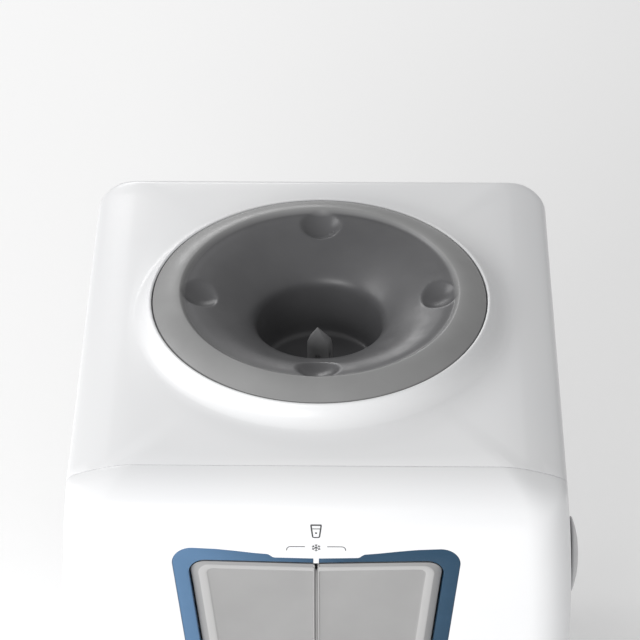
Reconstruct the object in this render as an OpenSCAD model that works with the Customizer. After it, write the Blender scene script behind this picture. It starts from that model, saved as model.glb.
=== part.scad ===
// Countertop bottled-water dispenser, compressor cooled, with two push keys and a lift-out bottle seat.
// Millimetres. +Z up, the front faces -Y, and the origin is on the counter at the centre of the footprint.

/* [Cabinet] */
// Widest part of the cabinet, across the bulged sides
body_w = 313; // [262:1:400]
// Front face to the rear edge of the sides
body_d = 332; // [326:1:400]
// Counter to the flat of the top cover
body_h = 392; // [372:1:480]
// How far each side pulls in from its widest line to the top
bulge = 6.5; // [3:0.5:9]
// Wall of the moulded covers
wall = 2.6; // [2:0.2:3.2]
// Open joint between neighbouring covers
seam = 0.6; // [0.4:0.1:1]
// Radius of the rounding from the front face to the top
crown_r = 30; // [24:1:34]
// Plan radius of the two rear corners
rear_corner_r = 20; // [14:1:28]
// Condenser and its bumpers behind the cabinet
condenser_gap = 22; // [20:1:32]
// Height of the rubber feet
foot_h = 12; // [8:1:18]

/* [Bottle seat] */
// Outer radius of the grey funnel
funnel_r = 105.6; // [92:0.2:106]
// Height of the raised collar above the flat top
collar_h = 12; // [10:1:16]
// Radius of the well that takes the bottle neck
well_r = 40; // [34:0.5:43]
// Depth of the well's floor below the flat top
well_depth = 47; // [44:1:54]
// Width across the square piercing spike
spike_w = 13.6; // [11:0.2:20]
// Turn of the spike about its axis
spike_turn = 14; // [0:1:45]
// Clearance round a lift-out piece
lift_fit = 0.6; // [0.4:0.1:1]

/* [Front opening] */
// Width of the opening across its shoulders
open_w = 172.6; // [150:0.2:180]
// Top corners of the opening, below the flat top
open_drop = 39; // [36:1:46]
// Bottom of the opening above the counter
open_bottom = 40; // [34:1:48]
// Draft of the opening's sides from the vertical
open_taper = 5.5; // [3:0.5:6]
// Width of the coloured band at each side
band_w = 9; // [7:0.5:11]
// Width of the notch between the two coloured bands
notch_w = 3.2; // [3:0.2:6]
// Height of the push keys
key_h = 90; // [80:1:96]
// Black gap round a push key
key_gap = 1.2; // [0.8:0.1:2]
// Rear travel of a push key about its pin, in degrees
key_swing = 7; // [4:0.5:8]

/* [Water] */
// Radius of the stainless tank
tank_r = 62; // [54:1:66]
// Thickness of the foam round the tank's coil
foam_t = 16; // [12:1:20]
// Distance of each tap from the middle
tap_x = 37; // [30:1:42]
// Radius of a tap's valve chamber
tap_r = 13; // [12:0.5:15]
// Bore of a hose
hose_r = 5; // [4:0.5:6]
// Bore radius of a spout
spout_r = 5; // [4:0.5:6]
// Radial clearance of a shaft in its bore
run_fit = 0.08; // [0.05:0.01:0.1]

/* [Cooling and controls] */
// Radius of the compressor's shell
comp_r = 62; // [52:1:64]
// Height of the compressor's shell
comp_h = 128; // [110:1:132]
// Radius of the thermostat knob
knob_r = 23.5; // [18:0.5:26]
// Bore radius of the mains cord's gland
gland_r = 4; // [3:0.25:5]

/* [Hidden] */

$fn = 64;

// main planes
front_y = -(body_d + condenser_gap) / 2;
rear_y = front_y + body_d;
back_y = -front_y;
seam_y = front_y + crown_r;
axis_y = (seam_y + rear_y) / 2;
half = body_w / 2;
belly_z = body_h - 135;
sheet = 1.2;
pan_top = foot_h + sheet;
skirt_z = pan_top + 1;

// side crown and shoulder of the top
crown_w = 42;
crown_side_r = 110;
shoulder_r = 7;
crown_a = asin(crown_w / crown_side_r);
crown_x = half - bulge - crown_w - shoulder_r * (1 - sin(crown_a));
shoulder_z = body_h - crown_side_r * (1 - cos(crown_a)) - shoulder_r * cos(crown_a);
rear_edge_r = 10;
cover_z = shoulder_z - 4;
up_r = pow(shoulder_z - belly_z, 2) / (2 * bulge);
low_r = pow(belly_z, 2) / (2 * bulge);

// bottle seat
seat_z = body_h + collar_h;
ledge_z = seat_z - 6;
ledge_r = funnel_r - 8;
funnel_t = 2.6;
well_floor = body_h - well_depth;
spigot_r = well_r - 10;
// radii along the slope of the bowl, from its foot over the well to the lip
bowl_in = well_r + 13;
bowl_out = funnel_r - 20.6;
bowl_low = bowl_in + (bowl_out - bowl_in) * 9 / 32;
bowl_mid = bowl_in + (bowl_out - bowl_in) * 19 / 32;
spigot_z = well_floor - 18;

// front opening
open_top = body_h - open_drop;
corner_r = 12;
chin_r = 18;
key_top = body_h - 50;
key_bottom = key_top - key_h;
band_top = key_top + key_gap;
leg_z = open_bottom + 26;
panel_fit = 0.15;
band_t = 8;
tray_fit = 0.6;

// keys and taps
key_face = front_y + 1;
key_t = 2.6;
pin_y = front_y + 16;
pin_z = key_top - 6;
pin_r = 2;
lug_r = 4.5;
lug_w = 5;
tap_z = key_top - 62;
push_gap = 0.3;
head_y = front_y + 18;
head_t = 3;
head_r = 6;
stem_r = 3.5;
nut_y = head_y + 14;
chamber_y = nut_y + 4;
seat_y = chamber_y + 19;
valve_travel = (pin_z - tap_z) * sin(key_swing);
chamber_end = seat_y + 9.2 + valve_travel;
barb_end = chamber_end + 14;
chamber_t = 3;
spout_y = chamber_y + 9;
plate_y = nut_y + 5;
arm_inner = 4;

// niche
ceiling_z = key_bottom - 12;
liner_t = 2.2;
liner_front = front_y + band_t;
niche_floor = open_bottom + 1.8;
tray_t = 2;
grille_z = leg_z - 3.8;

// tank, coil and foam
coil_r = 3.8;
foam_clear = 2;
cavity_r = tank_r + 2 * coil_r + foam_clear;
foam_w = cavity_r + foam_t;
foam_front_y = axis_y - foam_w + 2;
comp_z = pan_top + 18;
shelf_z = comp_z + comp_h + 22;
foam_z = shelf_z + sheet;
tank_z = foam_z + 10;
lid_z = spigot_z + 11.5;
tank_top = lid_z;
foam_top = tank_top - 2;
port_z = tap_z;
port_y = foam_front_y - 8;
back_wall_y = foam_front_y - 3;
baffle_z = port_z - 16;
steel_t = 1;
lid_t = 3;
neck_r = spigot_r + 4;
coil_pitch = 15;
coil_z0 = tank_z + 12;
coil_turns = floor((min(port_z - 14, foam_top - 12) - coil_z0) / coil_pitch);
coil_steps = 24;
coil_path_r = (tank_r + coil_r + 0.3) / cos(180 / coil_steps);
coil_end_z = coil_z0 + coil_pitch * (coil_turns + 0.5);
coil_out = foam_w + 4;
bulb_z = tank_top - 12;

// compressor, drain and controls
suction_a = -30;
discharge_a = 38;
stub_l = 8;
comp_y = rear_y - comp_r - 33;
stub_z = comp_z + 88;
side_x = half - 31;
drain_x = -(half - 64);
drain_z = foot_h + 40;
drain_r = 6;
port_drain = [-40, axis_y - 24];
gland_x = half - 60;
gland_z = foot_h + 38;
knob_y = seam_y + 35;
knob_z = body_h - 100;
knob_x = body_w / 2 + 0.4;
thermo_w = 36;
spindle_r = 3;
drier_x = -(half - 46);
drier_y = rear_y - 34;
drier_z = foot_h + 108;
cond_y = back_y - 5;
cond_w = half - 36;
cond_top = body_h - 46;
cond_runs = 9;
cond_low = foot_h + 84;
cond_pitch = (cond_top - cond_low) / (cond_runs - 1);
tube_r = 2.4;

// ---------- shared shapes ----------

function arc(cx, cy, r, a0, a1, n = 8) =
    [for (i = [0 : n]) let (a = a0 + (a1 - a0) * i / n) [cx + r * cos(a), cy + r * sin(a)]];
// half-width of the bulged sides at a height, drawn in by e
function reach(z, e) = half - e - pow(z - belly_z, 2) / (2 * (z > belly_z ? up_r : low_r));
function mirrored(p) = concat(p, [for (i = [len(p) - 1 : -1 : 0]) [-p[i][0], p[i][1]]]);
function side_line(e, z0, z1, n = 14) =
    [for (i = [0 : n]) let (z = z0 + (z1 - z0) * i / n) [reach(z, e), z]];
function cover_outline(e) = mirrored(concat(
    side_line(e, 0, shoulder_z),
    arc(half - bulge - shoulder_r, shoulder_z, shoulder_r - e, 6, 90 - crown_a, 5),
    arc(crown_x, body_h - crown_side_r, crown_side_r - e, 90 - crown_a, 90, 6)));
function open_x(z) = open_w / 2 - (open_top - corner_r - z) * tan(open_taper);
// the opening's outline, drawn in by e: a notch in the middle, a small step, square shoulders, tapered sides
function open_outline(e, z_low) = mirrored(concat(
    [[notch_w / 2 + e, band_top - e], [notch_w / 2 + e, open_top - 8 - e], [25 + e, open_top - 7.4 - e],
        [29 + e, open_top - 4.5 - e]],
    arc(open_w / 2 - corner_r, open_top - corner_r, corner_r - e, 90, 0, 8),
    z_low > open_bottom + chin_r
        ? [[open_x(z_low) - e, z_low]]
        : arc(open_x(open_bottom + chin_r) - chin_r, open_bottom + chin_r, chin_r - e, 0, -90, 8)));
function unit(v) = v / norm(v);
function carry(n, t) = unit(n - (n * t) * t);
function tangents(p) = [for (i = [0 : len(p) - 1]) unit(p[min(i + 1, len(p) - 1)] - p[max(i - 1, 0)])];
function normals(t) = [for (i = 0, n = carry([0.31, 0.52, 0.79], t[0]); i < len(t);
    i = i + 1, n = i < len(t) ? carry(n, t[i]) : n) n];
// a route with its corners rounded over the distance r
function soft(p, r, n = 4) = concat([p[0]],
    [for (i = [1 : len(p) - 2], k = [0 : n])
        let (u = k / n, a = p[i] + r * unit(p[i - 1] - p[i]), c = p[i] + r * unit(p[i + 1] - p[i]))
        (1 - u) * (1 - u) * a + 2 * u * (1 - u) * p[i] + u * u * c],
    [p[len(p) - 1]]);

module sweep(p, r, sides = 8) {
    t = tangents(p);
    n = normals(t);
    rings = [for (i = [0 : len(p) - 1], k = [0 : sides - 1])
        let (a = 360 * k / sides) p[i] + r * (cos(a) * n[i] + sin(a) * cross(t[i], n[i]))];
    walls = [for (i = [0 : len(p) - 2], k = [0 : sides - 1])
        let (k2 = (k + 1) % sides, a = i * sides, b = a + sides) [a + k, b + k, b + k2, a + k2]];
    start = [for (k = [0 : sides - 1]) k];
    finish = [for (k = [sides - 1 : -1 : 0]) (len(p) - 1) * sides + k];
    polyhedron(points = rings, faces = concat(walls, [start, finish]), convexity = 8);
}

module bar_x(r, x0, x1, y, z) {
    translate([x0, y, z]) rotate([0, 90, 0]) cylinder(r = r, h = x1 - x0);
}

module bar_y(r, y0, y1, x, z) {
    translate([x, y0, z]) rotate([-90, 0, 0]) cylinder(r = r, h = y1 - y0);
}

module bar_z(r, z0, z1, x, y) {
    translate([x, y, z0]) cylinder(r = r, h = z1 - z0);
}

module block(x0, x1, y0, y1, z0, z1) {
    translate([x0, y0, z0]) cube([x1 - x0, y1 - y0, z1 - z0]);
}

// an outline in X and Z, thickened along Y
module slab_y(points, y0, y1) {
    translate([0, y1, 0]) rotate([90, 0, 0]) linear_extrude(y1 - y0) polygon(points);
}

module ring_y(r_out, r_in, y0, y1, x, z) {
    difference() {
        bar_y(r_out, y0, y1, x, z);
        bar_y(r_in, y0 - 1, y1 + 1, x, z);
    }
}

// the outer form of the covers, drawn in by e on every side
module cabinet_form(e) {
    intersection() {
        slab_y(cover_outline(e), front_y, rear_y);
        rotate([90, 0, 90]) linear_extrude(2 * half, center = true) polygon(concat(
            [[front_y + e, 0]],
            arc(seam_y, body_h - crown_r, crown_r - e, 180, 90),
            arc(rear_y - rear_edge_r, body_h - rear_edge_r, rear_edge_r - e, 90, 0),
            [[rear_y - e, 0]]));
        linear_extrude(body_h + 1) polygon(mirrored(concat(
            arc(half - crown_r, front_y + crown_r, crown_r - e, -90, 0),
            arc(half - rear_corner_r, rear_y - rear_corner_r, rear_corner_r - e, 0, 90))));
    }
}

module cabinet_shell() {
    difference() {
        cabinet_form(0);
        cabinet_form(wall);
        block(-half, half, front_y, rear_y, -1, skirt_z);
    }
}

// ---------- covers ----------

module top_cover() {
    color("white") {
        difference() {
            intersection() {
                cabinet_shell();
                block(-half, half, seam_y + seam / 2, rear_y, cover_z, body_h);
            }
            translate([0, axis_y, body_h - 20]) cylinder(r = funnel_r + 4, h = 40);
        }
        // collar with the ledge that the funnel hangs from
        translate([0, axis_y, 0]) rotate_extrude() polygon(concat(
            [[ledge_r, ledge_z - wall], [funnel_r + 3, ledge_z - wall], [funnel_r + 3, body_h - wall],
                [funnel_r + 12.5, body_h - wall], [funnel_r + 12.5, body_h]],
            arc(funnel_r + 12.5, body_h + 8, 8, 270, 198, 5),
            [[funnel_r + 3, seat_z - 1], [funnel_r + 2, seat_z], [funnel_r + lift_fit, seat_z],
                [funnel_r + lift_fit, ledge_z], [ledge_r, ledge_z]]));
        // screw bosses that stand on the shelf's uprights
        for (sx = [-1, 1], y = [seam_y + 14, rear_y - 24])
            bar_z(5, cover_z - 8, body_h - wall - 4, sx * (half - 22), y);
    }
}

module front_panel() {
    color("white") difference() {
        intersection() {
            cabinet_shell();
            block(-half, half, front_y, seam_y - seam / 2, skirt_z, body_h);
        }
        slab_y(open_outline(0, open_bottom), front_y - 1, front_y + wall + 1);
    }
}

module side_panel(sx) {
    intersection() {
        cabinet_shell();
        block(min(sx * half, sx * (half - 40)), max(sx * half, sx * (half - 40)),
            seam_y + seam / 2, rear_y, skirt_z, cover_z - seam);
    }
}

module left_side_panel() {
    color("white") side_panel(-1);
}

module right_side_panel() {
    color("white") difference() {
        side_panel(1);
        bar_x(spindle_r + 1.5, half - 12, half + 5, knob_y, knob_z);
    }
}

module rear_panel() {
    plate_w = half - 42;
    color("silver") difference() {
        union() {
            block(-plate_w, plate_w, rear_y - wall, rear_y - wall + sheet, skirt_z, cover_z - seam);
            for (sx = [-1, 1])
                block(sx * plate_w - 6, sx * plate_w + 6,
                    rear_y - wall - sheet, rear_y - wall, skirt_z + 2, cover_z - 4);
        }
        // louvres that let the compressor's heat out
        for (x = [-50 : 25 : 50], z = [drain_z + 10 : 14 : cond_low - 14])
            block(x - 9, x + 9, rear_y - 5, rear_y + 5, z, z + 5);
        bar_y(11.5, rear_y - 6, rear_y + 6, drain_x, drain_z);
        bar_y(gland_r + 5.5, rear_y - 6, rear_y + 6, gland_x, gland_z);
        bar_y(tube_r + 1.6, rear_y - 6, rear_y + 6, cond_w - 22, cond_top);
        bar_y(tube_r + 1.6, rear_y - 6, rear_y + 6, -cond_w + 22, cond_low);
        for (p = screw_places()) bar_y(1.8, rear_y - 6, rear_y + 6, p[0], p[1]);
    }
}

function screw_places() =
    [for (sx = [-1, 1], z = [foot_h + 18, belly_z - 60, cover_z - 24]) [sx * (half - 48), z]];

module cover_screws() {
    color("silver") for (p = screw_places()) {
        bar_y(3.6, rear_y - wall + sheet, rear_y - wall + sheet + 2, p[0], p[1]);
        bar_y(1.8, rear_y - wall - sheet - 6, rear_y - wall + sheet + 0.5, p[0], p[1]);
    }
}

module base_pan() {
    pan_w = reach(foot_h, wall) - 1;
    pan_r = crown_r - 4;
    color("dimgray") difference() {
        linear_extrude_pan(pan_w, pan_r, foot_h, pan_top + 12);
        linear_extrude_pan(pan_w - sheet, pan_r - sheet, pan_top, pan_top + 13);
        for (p = foot_places()) bar_z(3, 0, pan_top + 1, p[0], p[1]);
        for (p = comp_bolts()) bar_z(3, 0, pan_top + 1, p[0], p[1]);
        for (x = [-45 : 15 : 45]) block(x - 3, x + 3, comp_y - 40, comp_y + 40, foot_h - 1, pan_top + 1);
    }
}

module linear_extrude_pan(w, r, z0, z1) {
    gap = wall + 1 + crown_r - 4 - r;
    translate([0, 0, z0]) linear_extrude(z1 - z0) polygon(mirrored(concat(
        arc(w - r, front_y + gap + r, r, -90, 0),
        arc(w - r / 2, rear_y - gap - r / 2 - 2, r / 2, 0, 90))));
}

function foot_places() = [for (sx = [-1, 1], y = [front_y + 42, rear_y - 36]) [sx * (half - 40), y]];
function comp_bolts() = [for (sx = [-1, 1], sy = [-1, 1]) [sx * (comp_r + 9), comp_y + sy * (comp_r - 14)]];

module feet() {
    color("black") for (p = foot_places()) {
        translate([p[0], p[1], 0]) rotate_extrude() polygon([[0, 1.5], [8, 1.5], [8, 0], [12, 0],
            [13, 1], [11.5, foot_h], [3, foot_h], [3, pan_top], [4.4, pan_top], [3.6, pan_top + 3],
            [0, pan_top + 4]]);
    }
}

module tank_shelf() {
    y0 = foam_front_y + 6;
    y1 = rear_y - 46;
    color("silver") difference() {
        union() {
            block(-side_x, side_x, y0, y1, shelf_z, foam_z);
            for (sx = [-1, 1]) {
                block(sx * side_x - sheet / 2, sx * side_x + sheet / 2, y0, y1, pan_top, foam_z);
                block(sx * (side_x - 6) - 6, sx * (side_x - 6) + 6, y0, y1, pan_top, pan_top + sheet);
            }
        }
        bar_z(drain_r + 4, shelf_z - 5, foam_z + 5, port_drain[0], port_drain[1]);
        bar_z(coil_r + 2, shelf_z - 5, foam_z + 5, side_x - 9, axis_y - 2);
        for (sx = [-1, 1])
            block(sx * side_x - 8, sx * side_x + 8, axis_y - 46, axis_y + 34, pan_top + 40, shelf_z - 20);
    }
}

// ---------- front: bands, keys, taps, niche and tray ----------

module half_space(sx) {
    block(sx > 0 ? 0 : -half, sx > 0 ? half : 0, front_y - 1, front_y + 60, 0, body_h);
}

function band_inner(e, z0) =
    mirrored([[open_x(z0) - band_w - e, z0], [open_x(band_top) - band_w - e, band_top - e]]);

module bezel(sx) {
    difference() {
        intersection() {
            slab_y(open_outline(panel_fit, leg_z + 0.6), front_y, front_y + band_t);
            half_space(sx);
        }
        slab_y(band_inner(0, leg_z - 20), front_y - 1, front_y + band_t + 1);
    }
    // flange behind the front panel
    difference() {
        intersection() {
            slab_y(mirrored([[open_x(leg_z) + 5, leg_z + 0.6], [open_x(band_top) + 5, band_top + 2],
                [open_w / 2 - 6, open_top + 4], [3, open_top - 2]]),
                front_y + wall + 0.2, front_y + wall + 2.2);
            half_space(sx);
        }
        slab_y(band_inner(0, leg_z - 20), front_y - 1, front_y + band_t + 1);
        block(-2, 2, front_y, front_y + band_t, open_top - 12, open_top + 12);
    }
}

module natural_bezel() {
    color([0.38, 0.53, 0.68]) bezel(-1);
}

module cold_bezel() {
    color([0.2, 0.33, 0.44]) bezel(1);
}

module tap_carrier() {
    low = ceiling_z + liner_t + 0.3;
    top_z = body_h - 28;
    color("gainsboro") difference() {
        union() {
            slab_y(mirrored([[open_x(low) - band_w - 1, low], [open_x(band_top) - band_w - 1, top_z]]),
                plate_y, plate_y + 3);
            // three arms that hold the hinge pins
            for (x = [-arm_inner, open_x(pin_z) - band_w - 9, -open_x(pin_z) + band_w + 1])
                hull() {
                    bar_x(lug_r, x, x + 8, pin_y, pin_z);
                    block(x, x + 8, plate_y - 1, plate_y + 1, pin_z - 12, pin_z + 12);
                }
        }
        for (sx = [-1, 1]) {
            bar_x(pin_r, sx > 0 ? 1 : -half + 20, sx > 0 ? half - 20 : -1, pin_y, pin_z);
            bar_y(tap_r, plate_y - 1, plate_y + 4, sx * tap_x, tap_z);
            block(sx * tap_x - spout_r - 5.3, sx * tap_x + spout_r + 5.3,
                plate_y - 1, plate_y + 4, low - 1, tap_z);
        }
    }
}

module key_pins() {
    tip = open_x(pin_z) - band_w - 1;
    color("silver") {
        bar_x(pin_r, -tip, -1.2, pin_y, pin_z);
        bar_x(pin_r, 1.2, tip, pin_y, pin_z);
    }
}

module key(sx) {
    inner = key_gap / 2 + 0.4;
    outer_top = open_x(key_top) - band_w - key_gap;
    outer_low = open_x(key_bottom) - band_w - key_gap;
    boss_y = head_y - push_gap;
    form = [[inner, key_bottom], [outer_low, key_bottom], [outer_top, key_top], [inner, key_top]];
    pocket = [[inner + key_t, key_bottom + key_t], [outer_low - key_t, key_bottom + key_t],
        [outer_top - key_t, key_top - key_t], [inner + key_t, key_top - key_t]];
    mirror([sx < 0 ? 1 : 0, 0, 0]) difference() {
        union() {
            difference() {
                slab_y(form, key_face, key_face + 7);
                slab_y(pocket, key_face + key_t, key_face + 8);
            }
            for (x = [10, outer_top - 18]) {
                bar_x(lug_r, x, x + lug_w, pin_y, pin_z);
                block(x, x + lug_w, key_face + key_t - 0.5, pin_y, pin_z - lug_r, pin_z + 1);
            }
            bar_y(4, key_face + key_t - 0.5, boss_y - 2, tap_x, tap_z);
            bar_y(2, boss_y - 3, boss_y, tap_x, tap_z);
        }
        bar_x(pin_r + run_fit, 0, open_w, pin_y, pin_z);
    }
}

module natural_key() {
    color("silver") key(-1);
}

module cold_key() {
    color("silver") key(1);
}

module tap_body(sx) {
    x = sx * tap_x;
    bore = tap_r - chamber_t;
    difference() {
        union() {
            bar_y(tap_r, chamber_y, chamber_end, x, tap_z);
            bar_y(tap_r + 3, plate_y + 3, plate_y + 6, x, tap_z);
            bar_y(hose_r, chamber_end - 2, barb_end, x, tap_z);
            bar_z(spout_r + 3, ceiling_z + 10, tap_z - 2, x, spout_y);
        }
        bar_y(bore, chamber_y - 1, seat_y - 4, x, tap_z);
        bar_y(stem_r + 2, seat_y - 5, seat_y + 1, x, tap_z);
        bar_y(bore, seat_y, chamber_end - 3, x, tap_z);
        bar_y(hose_r - 1.8, chamber_end - 4, barb_end + 1, x, tap_z);
        bar_z(spout_r, ceiling_z + 9, tap_z - 3, x, spout_y);
    }
}

module natural_tap_body() {
    color("white") tap_body(-1);
}

module cold_tap_body() {
    color("white") tap_body(1);
}

module plunger(sx) {
    x = sx * tap_x;
    bar_y(head_r, head_y, head_y + head_t, x, tap_z);
    bar_y(stem_r, head_y + head_t, seat_y + 5.6, x, tap_z);
    bar_y(stem_r + 2.5, seat_y + 3.2, seat_y + 5.2, x, tap_z);
}

module natural_plunger() {
    color([0.38, 0.53, 0.68]) plunger(-1);
}

module cold_plunger() {
    color([0.2, 0.33, 0.44]) plunger(1);
}

module tap_seal(sx) {
    ring_y(tap_r - chamber_t - 1.4, stem_r, seat_y + 0.3, seat_y + 3.2, sx * tap_x, tap_z);
}

module natural_tap_seal() {
    color("lightyellow") tap_seal(-1);
}

module cold_tap_seal() {
    color("lightyellow") tap_seal(1);
}

module tap_spring(sx) {
    wire = 0.5;
    turns = 4;
    coil = stem_r + 1.2;
    y0 = head_y + head_t + wire;
    y1 = nut_y - wire;
    sweep([for (i = [0 : turns * 12]) let (a = i * 30)
        [sx * tap_x + coil * cos(a), y0 + (y1 - y0) * i / (turns * 12), tap_z + coil * sin(a)]], wire, 5);
}

module natural_tap_spring() {
    color("silver") tap_spring(-1);
}

module cold_tap_spring() {
    color("silver") tap_spring(1);
}

module tap_cap_nuts() {
    color("gainsboro") for (sx = [-1, 1]) difference() {
        bar_y(tap_r + 0.4, nut_y, chamber_y, sx * tap_x, tap_z);
        bar_y(stem_r + run_fit, nut_y - 1, chamber_y + 1, sx * tap_x, tap_z);
    }
}

module spout(sx) {
    x = sx * tap_x;
    difference() {
        union() {
            bar_z(spout_r + 5, ceiling_z - 3, ceiling_z + 14, x, spout_y);
            translate([x, spout_y, ceiling_z - 20]) cylinder(r1 = spout_r + 2, r2 = spout_r + 5, h = 17);
        }
        bar_z(spout_r + 3, ceiling_z + 10, ceiling_z + 15, x, spout_y);
        bar_z(spout_r, ceiling_z - 21, ceiling_z + 15, x, spout_y);
    }
}

module natural_spout() {
    color("white") spout(-1);
}

module cold_spout() {
    color("white") spout(1);
}

module tap_hoses() {
    color("lightyellow") for (sx = [-1, 1])
        ring_y(hose_r + 2.2, hose_r, chamber_end + 2, port_y + 7, sx * tap_x, tap_z);
}

module hose_clamps() {
    color("silver") for (sx = [-1, 1], y = [chamber_end + 4, port_y + 1])
        ring_y(hose_r + 3.2, hose_r + 2.2, y, y + 5, sx * tap_x, tap_z);
}

function niche_outline(e, z0, z1) = mirrored([[open_x(z0) - band_w - e, z0], [open_x(z1) - band_w - e, z1]]);

module niche_liner() {
    floor_z = niche_floor - liner_t;
    color("gainsboro") difference() {
        union() {
            slab_y(niche_outline(-liner_t, floor_z, ceiling_z + liner_t), liner_front, back_wall_y);
            // apron in front of the taps, up to the foot of the keys
            slab_y(niche_outline(0.4, ceiling_z, key_bottom - 5), liner_front, liner_front + liner_t);
        }
        slab_y(niche_outline(0, niche_floor, ceiling_z), liner_front - 1, back_wall_y - liner_t);
        for (sx = [-1, 1]) bar_z(spout_r + 5.4, ceiling_z - 1, ceiling_z + 5, sx * tap_x, spout_y);
    }
}

module drip_tray() {
    top_z = leg_z - 0.4;
    y0 = liner_front - 0.4;
    y1 = back_wall_y - liner_t - 1;
    ledge = grille_z - 0.2;
    color("gainsboro") {
        difference() {
            union() {
                slab_y(niche_outline(tray_fit, niche_floor + 0.4, top_z), y0 - 1, y1);
                // chin that closes the foot of the opening
                intersection() {
                    slab_y(open_outline(tray_fit, open_bottom), front_y + 0.5, y0);
                    block(-half, half, front_y - 1, y0, open_bottom, top_z);
                }
            }
            slab_y(niche_outline(tray_fit + tray_t, niche_floor + 0.4 + tray_t, top_z + 1),
                y0 + 1, y1 - tray_t);
            // finger recess under the chin
            bar_x(9, -26, 26, front_y - 3, open_bottom + 6);
        }
        // ledge round the inside that carries the grille
        difference() {
            slab_y(niche_outline(tray_fit + tray_t - 0.5, ledge - 2, ledge), y0 + 0.5, y1 - tray_t + 0.5);
            slab_y(niche_outline(tray_fit + tray_t + 4, ledge - 3, ledge + 1), y0 + 5, y1 - tray_t - 4);
        }
    }
}

module drip_grille() {
    y0 = liner_front + 2.2;
    y1 = back_wall_y - liner_t - 3.6;
    rim = open_x(leg_z) - band_w - tray_fit - tray_t - 1.1;
    color("silver") difference() {
        slab_y(niche_outline(tray_fit + tray_t + 0.6, grille_z, leg_z - 0.8), y0, y1);
        for (y = [y0 + 8 : 7 : y1 - 10]) block(-rim + 8, rim - 8, y, y + 3.4, grille_z - 1, leg_z);
    }
}

// ---------- bottle seat ----------

// upper face of the funnel from the rim to the well, as [radius, height above the flat top]
function bowl_line() = [
    [funnel_r, collar_h - 0.8], [funnel_r - 0.8, collar_h], [funnel_r - 5.6, collar_h + 2.6],
    [funnel_r - 10.6, collar_h + 4.6], [funnel_r - 15.6, collar_h + 5.8], [funnel_r - 18.6, collar_h + 5.4],
    [bowl_out, collar_h + 3.8], [bowl_mid, collar_h + 1.4], [bowl_low, collar_h - 3.4],
    [bowl_in, collar_h - 8.2], [well_r + 6, collar_h - 13], [well_r + 2, collar_h - 16.2],
    [well_r, collar_h - 20]];

module dimples(r) {
    for (a = [0 : 90 : 270])
        rotate([0, 0, a]) translate([bowl_mid, 0, seat_z + 14.4]) sphere(r = r);
}

module bottle_funnel() {
    line = bowl_line();
    last = len(line) - 1;
    under = [for (i = [last : -1 : 2])
        [line[i][0] + (i > last - 3 ? funnel_t : 0.6), body_h + line[i][1] - (i == last ? 1 : funnel_t)]];
    slots = 6;
    color("gray") translate([0, axis_y, 0]) difference() {
        union() {
            rotate_extrude() polygon(concat(
                [for (p = line) [p[0], body_h + p[1]]],
                [[well_r, well_floor + 2], [well_r - 2, well_floor], [spike_w / 2 + 10, well_floor],
                    [0, well_floor], [0, well_floor - 3],
                    [spigot_r - 2.4, well_floor - 3], [spigot_r - 2.4, spigot_z], [spigot_r, spigot_z],
                    [spigot_r, well_floor - 3], [well_r + 1, well_floor - 3],
                    [well_r + funnel_t, well_floor]],
                under,
                [[funnel_r - 5, seat_z - 1], [funnel_r - 5, ledge_z + 0.3], [funnel_r, ledge_z + 0.3]]));
            intersection() {
                dimples(18 + funnel_t);
                rotate_extrude() polygon([[bowl_in - 3, seat_z - 12], [bowl_out + 2.6, seat_z - 12],
                    [bowl_out - 1.4, seat_z + 1], [bowl_mid, seat_z - 0.6], [bowl_low, seat_z - 5.4]]);
            }
        }
        dimples(18);
        for (i = [0 : slots - 1]) rotate([0, 0, 30 + i * 360 / slots])
            translate([spike_w / 2 + 13, 0, well_floor - 5]) cylinder(r = 4, h = 10);
    }
}

module bottle_spike() {
    tip = body_h - 9;
    shoulder = tip - 12.5;
    w = spike_w / 2;
    front = -5;
    back = front + 12;
    house = [[-w, well_floor + 2], [w, well_floor + 2], [w, shoulder], [0.2, tip], [-0.2, tip], [-w, shoulder]];
    flank = [[front, well_floor + 2], [back, well_floor + 2], [back, shoulder - 8], [front + 0.4, tip],
        [front, tip]];
    color("dimgray") translate([0, axis_y, 0]) {
        difference() {
            rotate([0, 0, -spike_turn]) intersection() {
                rotate([90, 0, 0]) linear_extrude(4 * w, center = true) polygon(house);
                rotate([90, 0, 90]) linear_extrude(4 * w, center = true) polygon(flank);
            }
            rotate([0, 0, -spike_turn]) for (a = [0, 90]) rotate([0, 0, a])
                block(-1.6, 1.6, -2 * w, 2 * w, well_floor + 4, shoulder - 10);
        }
        bar_z(spike_w / 2 + 6, well_floor, well_floor + 2.5, 0, 0);
        bar_z(4, well_floor, shoulder - 6, 0, 0);
    }
}

module funnel_seal() {
    color("white") translate([0, axis_y, 0]) rotate_extrude() polygon([[spigot_r, spigot_z + 3],
        [neck_r - 0.3, spigot_z + 6], [neck_r - 0.3, spigot_z + 7], [spigot_r + 1.6, spigot_z + 7.4],
        [spigot_r + 1.6, spigot_z + 9.4], [neck_r - 0.3, spigot_z + 10.4], [spigot_r, spigot_z + 11]]);
}

// ---------- tank and foam ----------

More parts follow.
